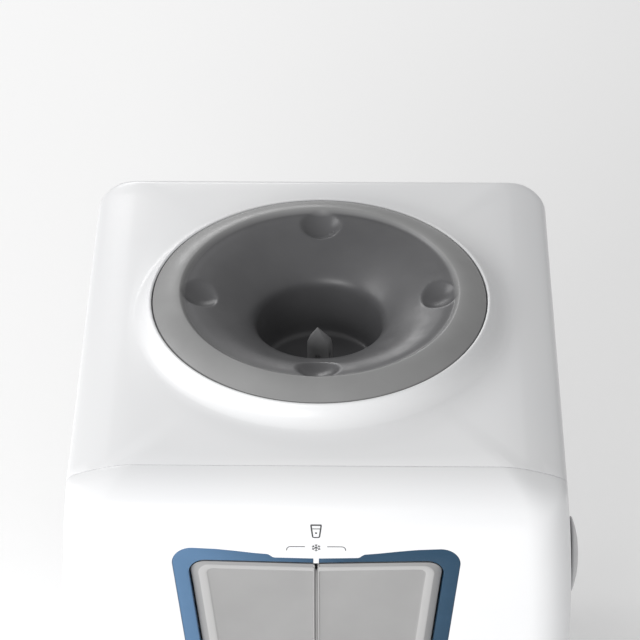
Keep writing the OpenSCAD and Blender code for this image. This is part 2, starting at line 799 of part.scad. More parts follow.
module cold_tank() {
    color("silver") {
        difference() {
            union() {
                bar_z(tank_r, tank_z, tank_top, 0, axis_y);
                bar_z(tank_r + 4, tank_top - steel_t, tank_top, 0, axis_y);
                for (sx = [-1, 1]) bar_y(hose_r, port_y, axis_y - tank_r + 26, sx * tap_x, port_z);
                bar_z(drain_r, foam_z - 14, tank_z + 1, port_drain[0], port_drain[1]);
            }
            bar_z(tank_r - steel_t, tank_z + steel_t, tank_top + 1, 0, axis_y);
            for (sx = [-1, 1]) bar_y(hose_r - 1.5, port_y - 1, axis_y, sx * tap_x, port_z);
            bar_z(drain_r - 1.5, foam_z - 15, tank_z + 3, port_drain[0], port_drain[1]);
        }
        // dip tube that draws from the cold floor of the tank
        dip_y = axis_y - sqrt(pow(tank_r, 2) - pow(tap_x, 2)) + 8;
        difference() {
            union() {
                bar_z(hose_r, tank_z + 8, port_z + hose_r, tap_x, dip_y);
                bar_y(hose_r - 1, dip_y - 9, dip_y, tap_x, port_z);
            }
            bar_z(hose_r - 1.5, tank_z + 7, port_z + 2, tap_x, dip_y);
            bar_y(hose_r - 1.5, dip_y - 12, dip_y, tap_x, port_z);
        }
    }
}

module tank_lid() {
    color("white") translate([0, axis_y, 0]) rotate_extrude() polygon([[neck_r, spigot_z + 1],
        [neck_r + 2.4, spigot_z + 1], [neck_r + 2.4, lid_z], [tank_r + 5, lid_z], [tank_r + 5, lid_z + lid_t],
        [neck_r, lid_z + lid_t]]);
}

module tank_baffle() {
    dip_y = -sqrt(pow(tank_r, 2) - pow(tap_x, 2)) + 8;
    color("white") translate([0, axis_y, baffle_z]) difference() {
        union() {
            cylinder(r = tank_r - steel_t - 0.5, h = 2);
            cylinder(r = 12, h = 14);
            for (a = [0 : 60 : 300]) rotate([0, 0, a]) translate([11, -1, 0]) cube([34, 2, 8]);
        }
        translate([0, 0, -1]) cylinder(r = 9, h = 20);
        translate([tap_x, dip_y, -1]) cylinder(r = hose_r + 0.5, h = 20);
        for (a = [30 : 60 : 330]) rotate([0, 0, a]) translate([tank_r - 14, 0, -1]) cylinder(r = 2.5, h = 4);
    }
}

module evaporator_coil() {
    total = coil_turns * coil_steps + coil_steps / 2;
    helix = [for (i = [1 : total - 1]) let (a = 360 * i / coil_steps)
        [coil_path_r * cos(a), axis_y + coil_path_r * sin(a), coil_z0 + coil_pitch * i / coil_steps]];
    color("peru") sweep(concat(
        [[coil_out, axis_y - 2, coil_z0], [coil_path_r + 8, axis_y - 2, coil_z0],
            [coil_path_r + 1.5, axis_y + 4, coil_z0 + 0.4]],
        helix,
        [[-coil_path_r - 1.5, axis_y + 4, coil_end_z - 0.4], [-coil_path_r - 8, axis_y + 1, coil_end_z],
            [-coil_out, axis_y + 1, coil_end_z]]), coil_r, 8);
}

module foam_box(y0, y1) {
    groove = coil_r + 1.5;
    difference() {
        block(-foam_w, foam_w, y0, y1, foam_z, foam_top);
        bar_z(cavity_r, tank_z, foam_top + 1, 0, axis_y);
        for (sx = [-1, 1]) bar_y(hose_r + 0.3, foam_front_y - 1, axis_y, sx * tap_x, port_z);
        bar_z(drain_r + 0.3, foam_z - 1, tank_z + 1, port_drain[0], port_drain[1]);
        // grooves in the split face for the coil's two ends and the thermostat's bulb
        bar_x(groove, 0, foam_w + 1, axis_y - 2, coil_z0);
        bar_x(groove, -foam_w - 1, 0, axis_y + 1, coil_end_z);
        bar_x(3.3, 0, foam_w + 1, axis_y, bulb_z);
        block(cavity_r - 10, cavity_r + 6, axis_y - 2 - groove, axis_y + 22,
            coil_z0 - groove, coil_z0 + groove + 1);
        block(-cavity_r - 6, 10 - cavity_r, axis_y - 22, axis_y + 1 + groove,
            coil_end_z - groove - 1, coil_end_z + groove);
    }
}

module foam_front() {
    color("whitesmoke") foam_box(foam_front_y, axis_y - 0.1);
}

module foam_rear() {
    color("whitesmoke") foam_box(axis_y + 0.1, axis_y + foam_w);
}

module drain_hose() {
    start = foam_z - 4;
    route = [[port_drain[0], port_drain[1], start], [port_drain[0], port_drain[1], shelf_z - 34],
        [drain_x, axis_y - 34, shelf_z - 62], [drain_x, axis_y - 10, drain_z],
        [drain_x, rear_y - 14, drain_z]];
    color("lightyellow") difference() {
        sweep(soft(route, 14), drain_r + 2.2, 12);
        bar_z(drain_r, foam_z - 14.5, start + 1, port_drain[0], port_drain[1]);
        bar_y(drain_r, rear_y - 26, rear_y - 12, drain_x, drain_z);
    }
}

module drain_spout() {
    color("white") difference() {
        union() {
            bar_y(drain_r, rear_y - 26, rear_y - 5, drain_x, drain_z);
            bar_y(14, rear_y - wall - 3, rear_y - wall, drain_x, drain_z);
            bar_y(11, rear_y - wall - 3, rear_y + 10, drain_x, drain_z);
        }
        bar_y(drain_r - 1.6, rear_y - 27, rear_y + 11, drain_x, drain_z);
    }
}

module drain_cap() {
    ribs = 12;
    color("white") difference() {
        union() {
            bar_y(13.6, rear_y + 1.5, rear_y + 14, drain_x, drain_z);
            for (i = [0 : ribs - 1]) translate([drain_x, 0, drain_z]) rotate([0, 360 / ribs * i, 0])
                bar_y(1.2, rear_y + 2, rear_y + 13.5, 13.6, 0);
        }
        bar_y(11.3, rear_y, rear_y + 12.2, drain_x, drain_z);
    }
}

module drain_cap_seal() {
    color("dimgray") bar_y(11, rear_y + 10.4, rear_y + 12.2, drain_x, drain_z);
}

// ---------- controls ----------

module thermostat_body() {
    inner_x = reach(knob_z, wall);
    color("silver") difference() {
        union() {
            block(inner_x - 29, inner_x - 3, knob_y - thermo_w / 2, knob_y + thermo_w / 2,
                knob_z - 16, knob_z + 16);
            block(inner_x - 3, inner_x - 1.5, knob_y - 24, knob_y + 24, knob_z - 12, knob_z + 12);
            bar_x(4.1, inner_x - 3, inner_x + 1.5, knob_y, knob_z);
        }
        bar_x(spindle_r + run_fit, inner_x - 12, inner_x + 6, knob_y, knob_z);
    }
}

module thermostat_bulb() {
    inner_x = reach(knob_z, wall);
    route = [[inner_x - 20, knob_y + thermo_w / 2, knob_z + 6], [inner_x - 20, knob_y + 40, knob_z + 6],
        [foam_w + 12, axis_y - 30, bulb_z], [foam_w + 8, axis_y, bulb_z], [foam_w - 6, axis_y, bulb_z]];
    color("peru") {
        sweep(soft(route, 10), 1.2, 6);
        bar_x(3, tank_r + 2, foam_w - 5, axis_y, bulb_z);
    }
}

module thermostat_knob() {
    inner_x = reach(knob_z, wall);
    face = half + 5.6;
    color("lightgray") {
        translate([0, knob_y, knob_z]) rotate([0, 90, 0]) rotate_extrude() polygon(concat(
            [[0, knob_x], [knob_r - 1, knob_x], [knob_r, knob_x + 0.8]],
            [[knob_r - 0.6, knob_x + 2], [knob_r - 5, face - 0.8], [knob_r - 10, face], [0, face]]));
        bar_x(spindle_r, inner_x - 10, knob_x, knob_y, knob_z);
        // grip bar with the pointer
        block(face - 1.5, face, knob_y - 3, knob_y + 3, knob_z - knob_r + 10, knob_z + knob_r - 10);
    }
}

module cord_gland() {
    color("black") difference() {
        union() {
            bar_y(gland_r + 5, rear_y - 12, rear_y + 1.5, gland_x, gland_z);
            bar_y(gland_r + 8, rear_y - wall + sheet, rear_y + 2, gland_x, gland_z);
            translate([gland_x, rear_y + 1.5, gland_z]) rotate([-90, 0, 0])
                cylinder(r1 = gland_r + 4.5, r2 = gland_r + 2.2, h = 12);
        }
        bar_y(gland_r, rear_y - 13, rear_y + 15, gland_x, gland_z);
    }
}

module terminal_block() {
    y0 = rear_y - 62;
    color("ivory") difference() {
        block(gland_x - 14, gland_x + 14, y0, y0 + 18, pan_top, pan_top + 20);
        for (x = [-9, 0, 9]) {
            bar_y(2.2, y0 - 1, y0 + 19, gland_x + x, pan_top + 7);
            bar_z(2.6, pan_top + 12, pan_top + 21, gland_x + x, y0 + 9);
        }
    }
}

// ---------- cooling circuit ----------

module compressor_shell() {
    dome = 26;
    color("#202428") {
        translate([0, comp_y, 0]) rotate_extrude() polygon(concat(
            [[0, comp_z], [comp_r - 16, comp_z]],
            arc(comp_r - 12, comp_z + 14, 12, -90, 0, 5),
            [[comp_r, comp_z + comp_h / 2 - 2], [comp_r + 2.5, comp_z + comp_h / 2 - 2],
                [comp_r + 2.5, comp_z + comp_h / 2 + 2], [comp_r, comp_z + comp_h / 2 + 2]],
            arc(comp_r - dome, comp_z + comp_h - dome, dome, 0, 60, 6),
            [[comp_r - dome - 12, comp_z + comp_h], [0, comp_z + comp_h]]));
        // suction and discharge stubs
        for (stub = [[suction_a, coil_r + 1], [discharge_a, tube_r + 1]])
            translate([0, comp_y, 0]) rotate([0, 0, stub[0]])
                bar_x(stub[1], comp_r - 2, comp_r + stub_l, 0, stub_z);
        difference() {
            for (y = [comp_y - comp_r + 14, comp_y + comp_r - 14])
                block(-comp_r - 17, comp_r + 17, y - 10, y + 10, comp_z - 3, comp_z);
            for (p = comp_bolts()) bar_z(6, comp_z - 5, comp_z + 2, p[0], p[1]);
        }
    }
}

module compressor_grommets() {
    color("black") for (p = comp_bolts()) translate([p[0], p[1], 0])
        rotate_extrude() polygon([[3.2, pan_top], [9, pan_top],
        [9, comp_z - 3], [6, comp_z - 3], [6, comp_z], [9, comp_z], [8, comp_z + 3], [3.2, comp_z + 3]]);
}

module compressor_bolts() {
    color("silver") for (p = comp_bolts()) {
        bar_z(3, foot_h - 2, comp_z + 8, p[0], p[1]);
        bar_z(6, foot_h - 4, foot_h, p[0], p[1]);
        translate([p[0], p[1], comp_z + 3]) cylinder(r = 5.6, h = 4, $fn = 6);
    }
}

module relay_cover() {
    color("#303030") difference() {
        block(comp_r + 3, comp_r + 25, comp_y - 22, comp_y + 22, comp_z + 24, comp_z + 74);
        block(comp_r, comp_r + 23, comp_y - 20, comp_y + 20, comp_z + 26, comp_z + 72);
    }
}

// a point at a given distance and angle from the compressor's axis
function round_comp(r, a, z) = [r * cos(a), comp_y + r * sin(a), z];

module suction_tube() {
    color("peru") sweep(soft([[coil_out, axis_y - 2, coil_z0], [side_x - 9, axis_y - 2, coil_z0],
        [side_x - 9, axis_y - 2, shelf_z - 24], round_comp(comp_r + 30, suction_a, stub_z),
        round_comp(comp_r + stub_l, suction_a, stub_z)], 7), coil_r, 8);
}

module capillary_tube() {
    color("peru") sweep(soft([[drier_x, drier_y, drier_z + 70], [drier_x, drier_y, shelf_z + 60],
        [-coil_out - 12, axis_y + 40, coil_end_z - 8], [-coil_out - 12, axis_y + 1, coil_end_z],
        [-coil_out, axis_y + 1, coil_end_z]], 6), 1.3, 6);
}

module filter_drier() {
    color("peru") translate([drier_x, drier_y, drier_z])
        rotate_extrude() polygon([[0, 0], [2.6, 0], [2.6, 6], [8, 12],
        [9, 14], [9, 54], [8, 57], [2, 64], [2, 70], [0, 70]]);
}

function run_z(i) = cond_top - i * cond_pitch;

module condenser_tube() {
    bend = cond_pitch / 2;
    inner = cond_w - bend;
    runs = [for (i = [0 : cond_runs - 2]) let (s = i % 2 == 0 ? -1 : 1)
        for (k = [0 : 6]) let (a = 90 - 30 * k)
            [s * (inner + bend * cos(a)), cond_y, run_z(i) - bend + bend * sin(a)]];
    color("#26292c") {
        sweep(concat(
            soft([round_comp(comp_r + stub_l, discharge_a, stub_z),
                round_comp(comp_r + 26, discharge_a, stub_z),
                [cond_w - 22, rear_y - 28, stub_z + 30], [cond_w - 22, rear_y - 28, cond_top],
                [cond_w - 22, cond_y, cond_top], [inner - 42, cond_y, cond_top]], 12),
            runs,
            soft([[0, cond_y, cond_low], [-cond_w + 22, cond_y, cond_low],
                [-cond_w + 22, rear_y - 16, cond_low],
                [drier_x, drier_y, cond_low], [drier_x, drier_y, drier_z]], 7)), tube_r, 8);
    }
}

module condenser_wires() {
    wire = 0.8;
    gap = 11;
    count = floor((cond_w - cond_pitch / 2 - 16) / gap);
    color("#26292c") for (i = [-count : count], s = [-1, 1])
        bar_z(wire, cond_low - 8, cond_top + 8, i * gap, cond_y + s * (tube_r + wire + 0.02));
}

module condenser_brackets() {
    color("#26292c") for (sx = [-1, 1], z = [run_z(2), run_z(6)]) {
        x = sx * (cond_w - cond_pitch / 2 - 7);
        difference() {
            union() {
                block(x - 5, x + 5, rear_y - wall + sheet, cond_y - tube_r, z - 3, z + 3);
                block(x - 5, x + 5, cond_y - tube_r - 0.2, back_y, z - 9, z + 9);
            }
            bar_x(tube_r, x - 6, x + 6, cond_y, z);
        }
    }
}

top_cover();
front_panel();
left_side_panel();
right_side_panel();
rear_panel();
base_pan();
tank_shelf();
niche_liner();
natural_bezel();
cold_bezel();
tap_carrier();
natural_key();
cold_key();
key_pins();
natural_tap_body();
cold_tap_body();
natural_plunger();
cold_plunger();
natural_tap_seal();
cold_tap_seal();
natural_tap_spring();
cold_tap_spring();
tap_cap_nuts();
natural_spout();
cold_spout();
tap_hoses();
hose_clamps();
bottle_funnel();
bottle_spike();
funnel_seal();
cold_tank();
tank_lid();
tank_baffle();
evaporator_coil();
foam_front();
foam_rear();
drain_hose();
drain_spout();
drain_cap();
drain_cap_seal();
thermostat_body();
thermostat_bulb();
thermostat_knob();
compressor_shell();
compressor_grommets();
compressor_bolts();
relay_cover();
suction_tube();
capillary_tube();
filter_drier();
condenser_tube();
condenser_wires();
condenser_brackets();
cord_gland();
terminal_block();
drip_tray();
drip_grille();
cover_screws();
feet();
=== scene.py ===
import math
import bpy
from mathutils import Matrix, Vector


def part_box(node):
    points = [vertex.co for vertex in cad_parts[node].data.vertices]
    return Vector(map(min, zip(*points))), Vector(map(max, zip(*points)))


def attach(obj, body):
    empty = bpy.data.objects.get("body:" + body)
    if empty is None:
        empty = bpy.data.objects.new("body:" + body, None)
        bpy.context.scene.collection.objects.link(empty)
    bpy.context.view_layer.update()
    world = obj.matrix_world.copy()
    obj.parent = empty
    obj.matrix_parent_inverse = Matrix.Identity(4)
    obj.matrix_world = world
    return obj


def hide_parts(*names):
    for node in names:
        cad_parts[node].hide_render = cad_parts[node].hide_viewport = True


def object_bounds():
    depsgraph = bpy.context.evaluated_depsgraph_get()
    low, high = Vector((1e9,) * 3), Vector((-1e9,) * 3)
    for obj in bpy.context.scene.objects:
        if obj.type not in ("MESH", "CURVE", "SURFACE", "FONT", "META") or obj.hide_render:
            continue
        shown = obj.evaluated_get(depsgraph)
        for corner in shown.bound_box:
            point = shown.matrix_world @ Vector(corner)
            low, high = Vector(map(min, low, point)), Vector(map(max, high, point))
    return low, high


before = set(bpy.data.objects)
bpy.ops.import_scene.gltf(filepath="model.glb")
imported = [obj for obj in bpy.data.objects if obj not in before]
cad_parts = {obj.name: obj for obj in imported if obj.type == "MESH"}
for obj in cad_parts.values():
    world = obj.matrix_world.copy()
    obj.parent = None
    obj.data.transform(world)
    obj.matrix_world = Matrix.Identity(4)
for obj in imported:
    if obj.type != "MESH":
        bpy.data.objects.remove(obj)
cad_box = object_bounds()

# ---- Studio: a pale seamless floor, one big overhead softbox, a front fill and a rim light ----
# The view looks down on the bottle seat from in front, with a long lens.
MM = 0.001
SEAM_GAP = 0.3 * MM
COLLAR_UP = 12 * MM
panel_low, panel_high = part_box("front_panel")
cover_low, cover_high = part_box("top_cover")
side_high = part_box("left_side_panel")[1]
funnel_low, funnel_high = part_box("bottle_funnel")
FRONT = panel_low[1]
SEAM = panel_high[1] + SEAM_GAP
REAR = side_high[1]
RIM = cover_high[2]
TOP = RIM - COLLAR_UP
AXIS = (funnel_low[1] + funnel_high[1]) / 2
HALF = panel_high[0]
VIEW_ASIDE, VIEW_AHEAD, VIEW_ABOVE = 0.0205, 1.3827, 1.170
VIEW_YAW, VIEW_DOWN, VIEW_ROLL = 0.755, 37.49, -0.15
LENS, SENSOR = 171.06, 36
FAR_CLIP = 20
scene = bpy.context.scene
scene.view_settings.view_transform = "Standard"
bpy.ops.object.select_all(action="DESELECT")

bpy.ops.object.camera_add(location=(VIEW_ASIDE, SEAM - VIEW_AHEAD, TOP + VIEW_ABOVE))
camera = bpy.context.object
camera.rotation_euler = (Matrix.Rotation(math.radians(VIEW_YAW), 3, "Z")
                         @ Matrix.Rotation(math.radians(90 - VIEW_DOWN), 3, "X")
                         @ Matrix.Rotation(math.radians(VIEW_ROLL), 3, "Z")).to_euler()
camera.data.lens = LENS
camera.data.sensor_width = SENSOR
camera.data.clip_end = FAR_CLIP
scene.camera = camera


def material(name):
    """A node material with only its shader and output."""
    made = bpy.data.materials.new(name)
    made.use_nodes = True
    return made


class Value:
    """A shader socket that adds its Math nodes when it is used in an expression."""

    def __init__(self, tree, socket):
        self.tree = tree
        self.socket = socket

    def math(self, operation, *others):
        node = self.tree.nodes.new("ShaderNodeMath")
        node.operation = operation
        for slot, value in zip(node.inputs, (self,) + others):
            if isinstance(value, Value):
                self.tree.links.new(value.socket, slot)
            else:
                slot.default_value = value
        return Value(self.tree, node.outputs[0])

    def __add__(self, other):
        return self.math("ADD", other)

    def __mul__(self, other):
        return self.math("MULTIPLY", other)

    def clamp(self):
        made = self.math("ADD", 0.0)
        made.socket.node.use_clamp = True
        return made

    __radd__ = __add__
    __rmul__ = __mul__


class Finish:
    """A material under construction: its node tree, its shader, and ways to add nodes to it."""

    def __init__(self, name, color, roughness, **uniform):
        self.material = material(name)
        self.tree = self.material.node_tree
        self.shader = self.tree.nodes["Principled BSDF"]
        self.shader.inputs["Base Color"].default_value = (*color, 1)
        self.shader.inputs["Roughness"].default_value = roughness
        for key, value in uniform.items():
            self.shader.inputs[key.replace("_", " ").title().replace("Ior", "IOR")].default_value = value
        self.place = self.node("ShaderNodeTexCoord", {}, {}, "Object").socket

    def node(self, kind, settings, inputs, output=0):
        made = self.tree.nodes.new(kind)
        for key, value in settings.items():
            setattr(made, key, value)
        for key, value in inputs.items():
            if isinstance(value, Value):
                self.tree.links.new(value.socket, made.inputs[key])
            elif isinstance(value, bpy.types.NodeSocket):
                self.tree.links.new(value, made.inputs[key])
            else:
                made.inputs[key].default_value = value
        return Value(self.tree, made.outputs[output])

    def noise(self, scale, detail=3.0, stretch=None):
        where = self.place
        if stretch:
            where = self.node("ShaderNodeMapping", {}, {"Vector": where, "Scale": stretch}).socket
        return self.node("ShaderNodeTexNoise", {}, {"Vector": where, "Scale": scale, "Detail": detail})

    def spread(self, value, low, high, to_low, to_high):
        return self.node("ShaderNodeMapRange", {}, {"Value": value, "From Min": low, "From Max": high,
                                                    "To Min": to_low, "To Max": to_high})

    def mix(self, factor, first, second):
        """Two colours, or a colour link and a colour, mixed by a factor."""
        made = self.tree.nodes.new("ShaderNodeMix")
        made.data_type = "RGBA"
        for slot, value in ((made.inputs[0], factor), (made.inputs[6], first), (made.inputs[7], second)):
            if isinstance(value, Value):
                self.tree.links.new(value.socket, slot)
            elif isinstance(value, (tuple, list)):
                slot.default_value = (*value, 1) if len(value) == 3 else value
            else:
                slot.default_value = value
        return Value(self.tree, made.outputs[2])

    def color(self, value):
        self.tree.links.new(value.socket, self.shader.inputs["Base Color"])

    def rough(self, value):
        self.tree.links.new(value.socket, self.shader.inputs["Roughness"])

    def bump(self, height, distance, strength=1.0):
        made = self.node("ShaderNodeBump", {}, {"Height": height, "Distance": distance, "Strength": strength})
        self.tree.links.new(made.socket, self.shader.inputs["Normal"])


FLOOR_SIZE = 14
FLOOR_DROP = 0.2 * MM
WORLD_LIGHT = 0.46
floor_finish = Finish("studio_floor", (0.93, 0.93, 0.93), 0.7,
                      emission_color=(1, 1, 1, 1), emission_strength=0.1)
floor_cloud = floor_finish.noise(1.5)
floor_finish.rough(floor_finish.spread(floor_cloud, 0.3, 0.7, 0.62, 0.78))
bpy.ops.mesh.primitive_plane_add(size=FLOOR_SIZE, location=(0, 0, cad_box[0][2] - FLOOR_DROP))
floor = bpy.context.object
floor.name = "studio_floor"
floor.data.materials.append(floor_finish.material)

world = bpy.data.worlds.new("studio")
scene.world = world
world.use_nodes = True
background = world.node_tree.nodes["Background"]
background.inputs["Color"].default_value = (1, 1, 1, 1)
background.inputs["Strength"].default_value = WORLD_LIGHT


def softbox(name, place, aim, size, power):
    """A rectangular lamp of a width, a height and a power, turned to face a point."""
    bpy.ops.object.light_add(type="AREA", location=place)
    lamp = bpy.context.object
    lamp.name = name
    lamp.data.shape = "RECTANGLE"
    lamp.data.size, lamp.data.size_y = size
    lamp.data.energy = power
    lamp.rotation_euler = (Vector(aim) - Vector(place)).to_track_quat("-Z", "Y").to_euler()


softbox("front_fill", (-0.7, -1.4, 0.85), (0, -0.1, 0.3), (1.3, 0.9), 17)
softbox("left_softbox", (-1.5, 0.3, 1.3), (0, 0, 0.35), (0.9, 0.9), 9)
softbox("back_rim", (-0.45, 1.8, 1.05), (0, 0, 0.4), (0.9, 0.4), 6)

# ---- Outer covers: white moulded shells with crowned edges and slightly bulged sides ----
# Front panel, top cover with its raised collar, and two side panels, clipped edge to edge
# with a fine open seam between them.
WALL = 2.2 * MM
BULGE = 6.5 * MM
BELLY = TOP - 135 * MM
SHOULDER_R = 7 * MM
CROWN_R = 110 * MM
CROWN_WIDE = 42 * MM
CROWN_TILT = math.asin(CROWN_WIDE / CROWN_R)
FRONT_R = 28 * MM
REAR_R = 10 * MM
TOP_HALF = HALF - BULGE
SHOULDER_Z = TOP - CROWN_R * (1 - math.cos(CROWN_TILT)) - SHOULDER_R * math.cos(CROWN_TILT)
CROWN_X = TOP_HALF - CROWN_WIDE - SHOULDER_R * (1 - math.sin(CROWN_TILT))
FUNNEL_R = (funnel_high[0] - funnel_low[0]) / 2
SKIRT = panel_low[2]
FRONT_CORNER, REAR_CORNER = 27 * MM, 20 * MM
FRONT_STEPS, REAR_STEPS = 14, 8
EDGE_SPANS = (26, 30, 26, 24)


def reach(z):
    """Half-width of the bulged sides at a height."""
    above = (SHOULDER_Z - BELLY) ** 2 / (2 * BULGE)
    below = BELLY ** 2 / (2 * BULGE)
    return HALF - (z - BELLY) ** 2 / (2 * (above if z > BELLY else below))


def crown_z(x):
    """Height of the crowned top beside the middle flat."""
    return TOP - CROWN_R + math.sqrt(CROWN_R ** 2 - max(abs(x) - CROWN_X, 0) ** 2)


def plan(half_x, y_front, y_rear, r_front, r_rear):
    """A rounded rectangle seen from above, as (x, y, outward x, outward y), clockwise from the rear."""
    corners = ((half_x - r_rear, y_rear - r_rear, r_rear, 90, 0, REAR_STEPS),
               (half_x - r_front, y_front + r_front, r_front, 0, -90, FRONT_STEPS),
               (r_front - half_x, y_front + r_front, r_front, -90, -180, FRONT_STEPS),
               (r_rear - half_x, y_rear - r_rear, r_rear, 180, 90, REAR_STEPS))
    points = []
    for index, (cx, cy, r, start, end, steps) in enumerate(corners):
        for step in range(steps + 1):
            angle = math.radians(start + (end - start) * step / steps)
            out_x, out_y = math.cos(angle), math.sin(angle)
            points.append((cx + r * out_x, cy + r * out_y, out_x, out_y))
        next_x, next_y, next_r, next_start = corners[(index + 1) % 4][:4]
        turn = math.radians(next_start)
        last = points[-1]
        aim = (next_x + next_r * math.cos(turn), next_y + next_r * math.sin(turn))
        for step in range(1, EDGE_SPANS[index]):
            share = step / EDGE_SPANS[index]
            x, y = (last[axis] + (aim[axis] - last[axis]) * share for axis in (0, 1))
            points.append((x, y, last[2], last[3]))
    return points


def skin(name, rows, closed=True):
    """A surface through rows of points: a grid primitive whose vertices are moved onto them."""
    bpy.ops.object.select_all(action="DESELECT")
    width = len(rows[0]) + (1 if closed else 0)
    bpy.ops.mesh.primitive_grid_add(x_subdivisions=width - 1, y_subdivisions=len(rows) - 1, size=1)
    made = bpy.context.object
    made.name = made.data.name = name
    flat = [v for row in rows for point in (list(row) + ([row[0]] if closed else [])) for v in point]
    made.data.vertices.foreach_set("co", flat)
    clean(made)
    return made


def clean(piece):
    """Merges doubles and points the faces outwards."""
    select_only(piece)
    bpy.ops.object.mode_set(mode="EDIT")
    bpy.ops.mesh.select_all(action="SELECT")
    bpy.ops.mesh.remove_doubles(threshold=0.00001)
    bpy.ops.mesh.normals_make_consistent(inside=False)
    bpy.ops.object.mode_set(mode="OBJECT")


def select_only(piece):
    bpy.ops.object.select_all(action="DESELECT")
    piece.select_set(True)
    bpy.context.view_layer.objects.active = piece


def modify(piece, kind, **settings):
    """Adds a modifier and applies it."""
    select_only(piece)
    made = piece.modifiers.new(kind, kind)
    for key, value in settings.items():
        setattr(made, key, value)
    bpy.ops.object.modifier_apply(modifier=made.name)


def soften(piece, width, segments=2, angle=40):
    """Rounds the edges that are sharper than an angle."""
    modify(piece, "BEVEL", width=width, segments=segments,
           limit_method="ANGLE", angle_limit=math.radians(angle))


def keep_side(piece, place, direction):
    """Cuts a piece with a plane and keeps what lies in the direction."""
    select_only(piece)
    bpy.ops.object.mode_set(mode="EDIT")
    bpy.ops.mesh.select_all(action="SELECT")
    bpy.ops.mesh.bisect(plane_co=place, plane_no=direction, clear_inner=True)
    bpy.ops.object.mode_set(mode="OBJECT")


def copied(piece, name):
    select_only(piece)
    bpy.ops.object.duplicate()
    made = bpy.context.object
    made.name = made.data.name = name
    return made


def cut_with(piece, cutter):
    modify(piece, "BOOLEAN", operation="DIFFERENCE", object=cutter, solver="EXACT")
    bpy.data.objects.remove(cutter)


def dress(piece, body, finish, *nodes, slot=None, angle=35):
    """Gives a finished piece its material, its body and the CAD nodes that it stands for."""
    select_only(piece)
    bpy.ops.object.transform_apply(location=True, rotation=True, scale=True)
    bpy.ops.object.shade_smooth_by_angle(angle=math.radians(angle))
    piece.data.materials.clear()
    piece.data.materials.append(finish.material)
    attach(piece, body)
    if nodes:
        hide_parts(*nodes)


white = Finish("cover_white", (0.86, 0.865, 0.875), 0.3, specular_ior_level=0.5, coat_roughness=0.12)
grain = white.noise(1100, 2)
ripple = white.noise(9, 1)
white.rough(white.spread(white.noise(55, 4), 0.3, 0.7, 0.285, 0.31))
white.color(white.mix(white.spread(ripple, 0.3, 0.7, 0, 1), (0.85, 0.855, 0.868), (0.875, 0.878, 0.884)))
white.bump(grain, 0.00001, 0.12)

BARREL_ROWS = 22
ROUND_ROWS = 4
TOP_ROWS = 10
CROWN_END = math.radians(10.3)
FRONT_TIGHTER, REAR_TIGHTER = 14 * MM, 9 * MM
outer_rows = []
edge = plan(HALF, FRONT, REAR, FRONT_CORNER, REAR_CORNER)


def level(point, side, front, rear):
    """Mixes three values by the way a point of the outline faces."""
    nx, ny = point[2], point[3]
    return side * nx * nx + (front if ny < 0 else rear) * ny * ny


def drawn_in(x, z):
    """A point of the widest outline, moved in to where the bulged side is at its height."""
    return math.copysign(1, x) * (abs(x) - (HALF - reach(z)) * min(abs(x) / HALF, 1))


for row in range(BARREL_ROWS + 1):
    share = row / BARREL_ROWS
    heights = [SKIRT + (level(p, SHOULDER_Z, TOP - FRONT_R, TOP - REAR_R) - SKIRT) * share for p in edge]
    outer_rows.append([(drawn_in(p[0], z), p[1], z) for p, z in zip(edge, heights)])
for step in range(1, TOP_ROWS + 1):
    share = step / TOP_ROWS
    if step <= ROUND_ROWS:
        angle = (math.pi / 2 - CROWN_TILT) * step / ROUND_ROWS
        side_in = SHOULDER_R * (1 - math.cos(angle))
        side_z = SHOULDER_Z + SHOULDER_R * math.sin(angle)
    else:
        angle = CROWN_TILT + (CROWN_END - CROWN_TILT) * (step - ROUND_ROWS) / (TOP_ROWS - ROUND_ROWS)
        side_in = TOP_HALF - CROWN_X - CROWN_R * math.sin(angle)
        side_z = TOP - CROWN_R * (1 - math.cos(angle))
    bow = math.pi / 2 * share
    front_in, front_z = FRONT_R * (1 - math.cos(bow)), TOP - FRONT_R + FRONT_R * math.sin(bow)
    rear_in, rear_z = REAR_R * (1 - math.cos(bow)), TOP - REAR_R + REAR_R * math.sin(bow)
    ring = plan(TOP_HALF - side_in, FRONT + front_in, REAR - rear_in,
                FRONT_CORNER - FRONT_TIGHTER * share, REAR_CORNER - REAR_TIGHTER * share)
    outer_rows.append([(p[0], p[1], level(p, side_z, front_z, rear_z)) for p in ring])
COLLAR_FOOT = FUNNEL_R + 12.9 * MM
last_row = outer_rows[-1]
for share in (0.3, 0.55, 0.78, 0.92, 1.0):
    row = []
    for x, y, z in last_row:
        turn = math.atan2(y - AXIS, x)
        foot_x, foot_y = COLLAR_FOOT * math.cos(turn), AXIS + COLLAR_FOOT * math.sin(turn)
        near_x, near_y = x + (foot_x - x) * share, y + (foot_y - y) * share
        row.append((near_x, near_y, crown_z(near_x) * share ** 0.5 + z * (1 - share ** 0.5)))
    outer_rows.append(row)
# The collar: a soft fillet up to a fine lip, then down to the ledge that the funnel rests on.
collar = [(12.0, 0.25), (10.6, 0.75), (8.6, 1.9), (6.8, 3.5), (5.3, 5.4), (4.2, 7.4),
          (3.5, 9.4), (3.15, 10.8), (2.9, 11.5), (2.4, 11.9), (1.8, 12.0), (1.2, 11.85),
          (0.75, 11.4), (0.7, 9.0), (0.7, 6.1), (0.1, 6.0), (-4, 6.0), (-7.4, 6.0)]
for out, up in collar:
    row = []
    for x, y, z in last_row:
        turn = math.atan2(y - AXIS, x)
        r = FUNNEL_R + out * MM
        base = crown_z(COLLAR_FOOT * math.cos(turn))
        row.append((r * math.cos(turn), AXIS + r * math.sin(turn),
                    base + (TOP - base) * min(up * MM / COLLAR_UP, 1) + up * MM))
    outer_rows.append(row)

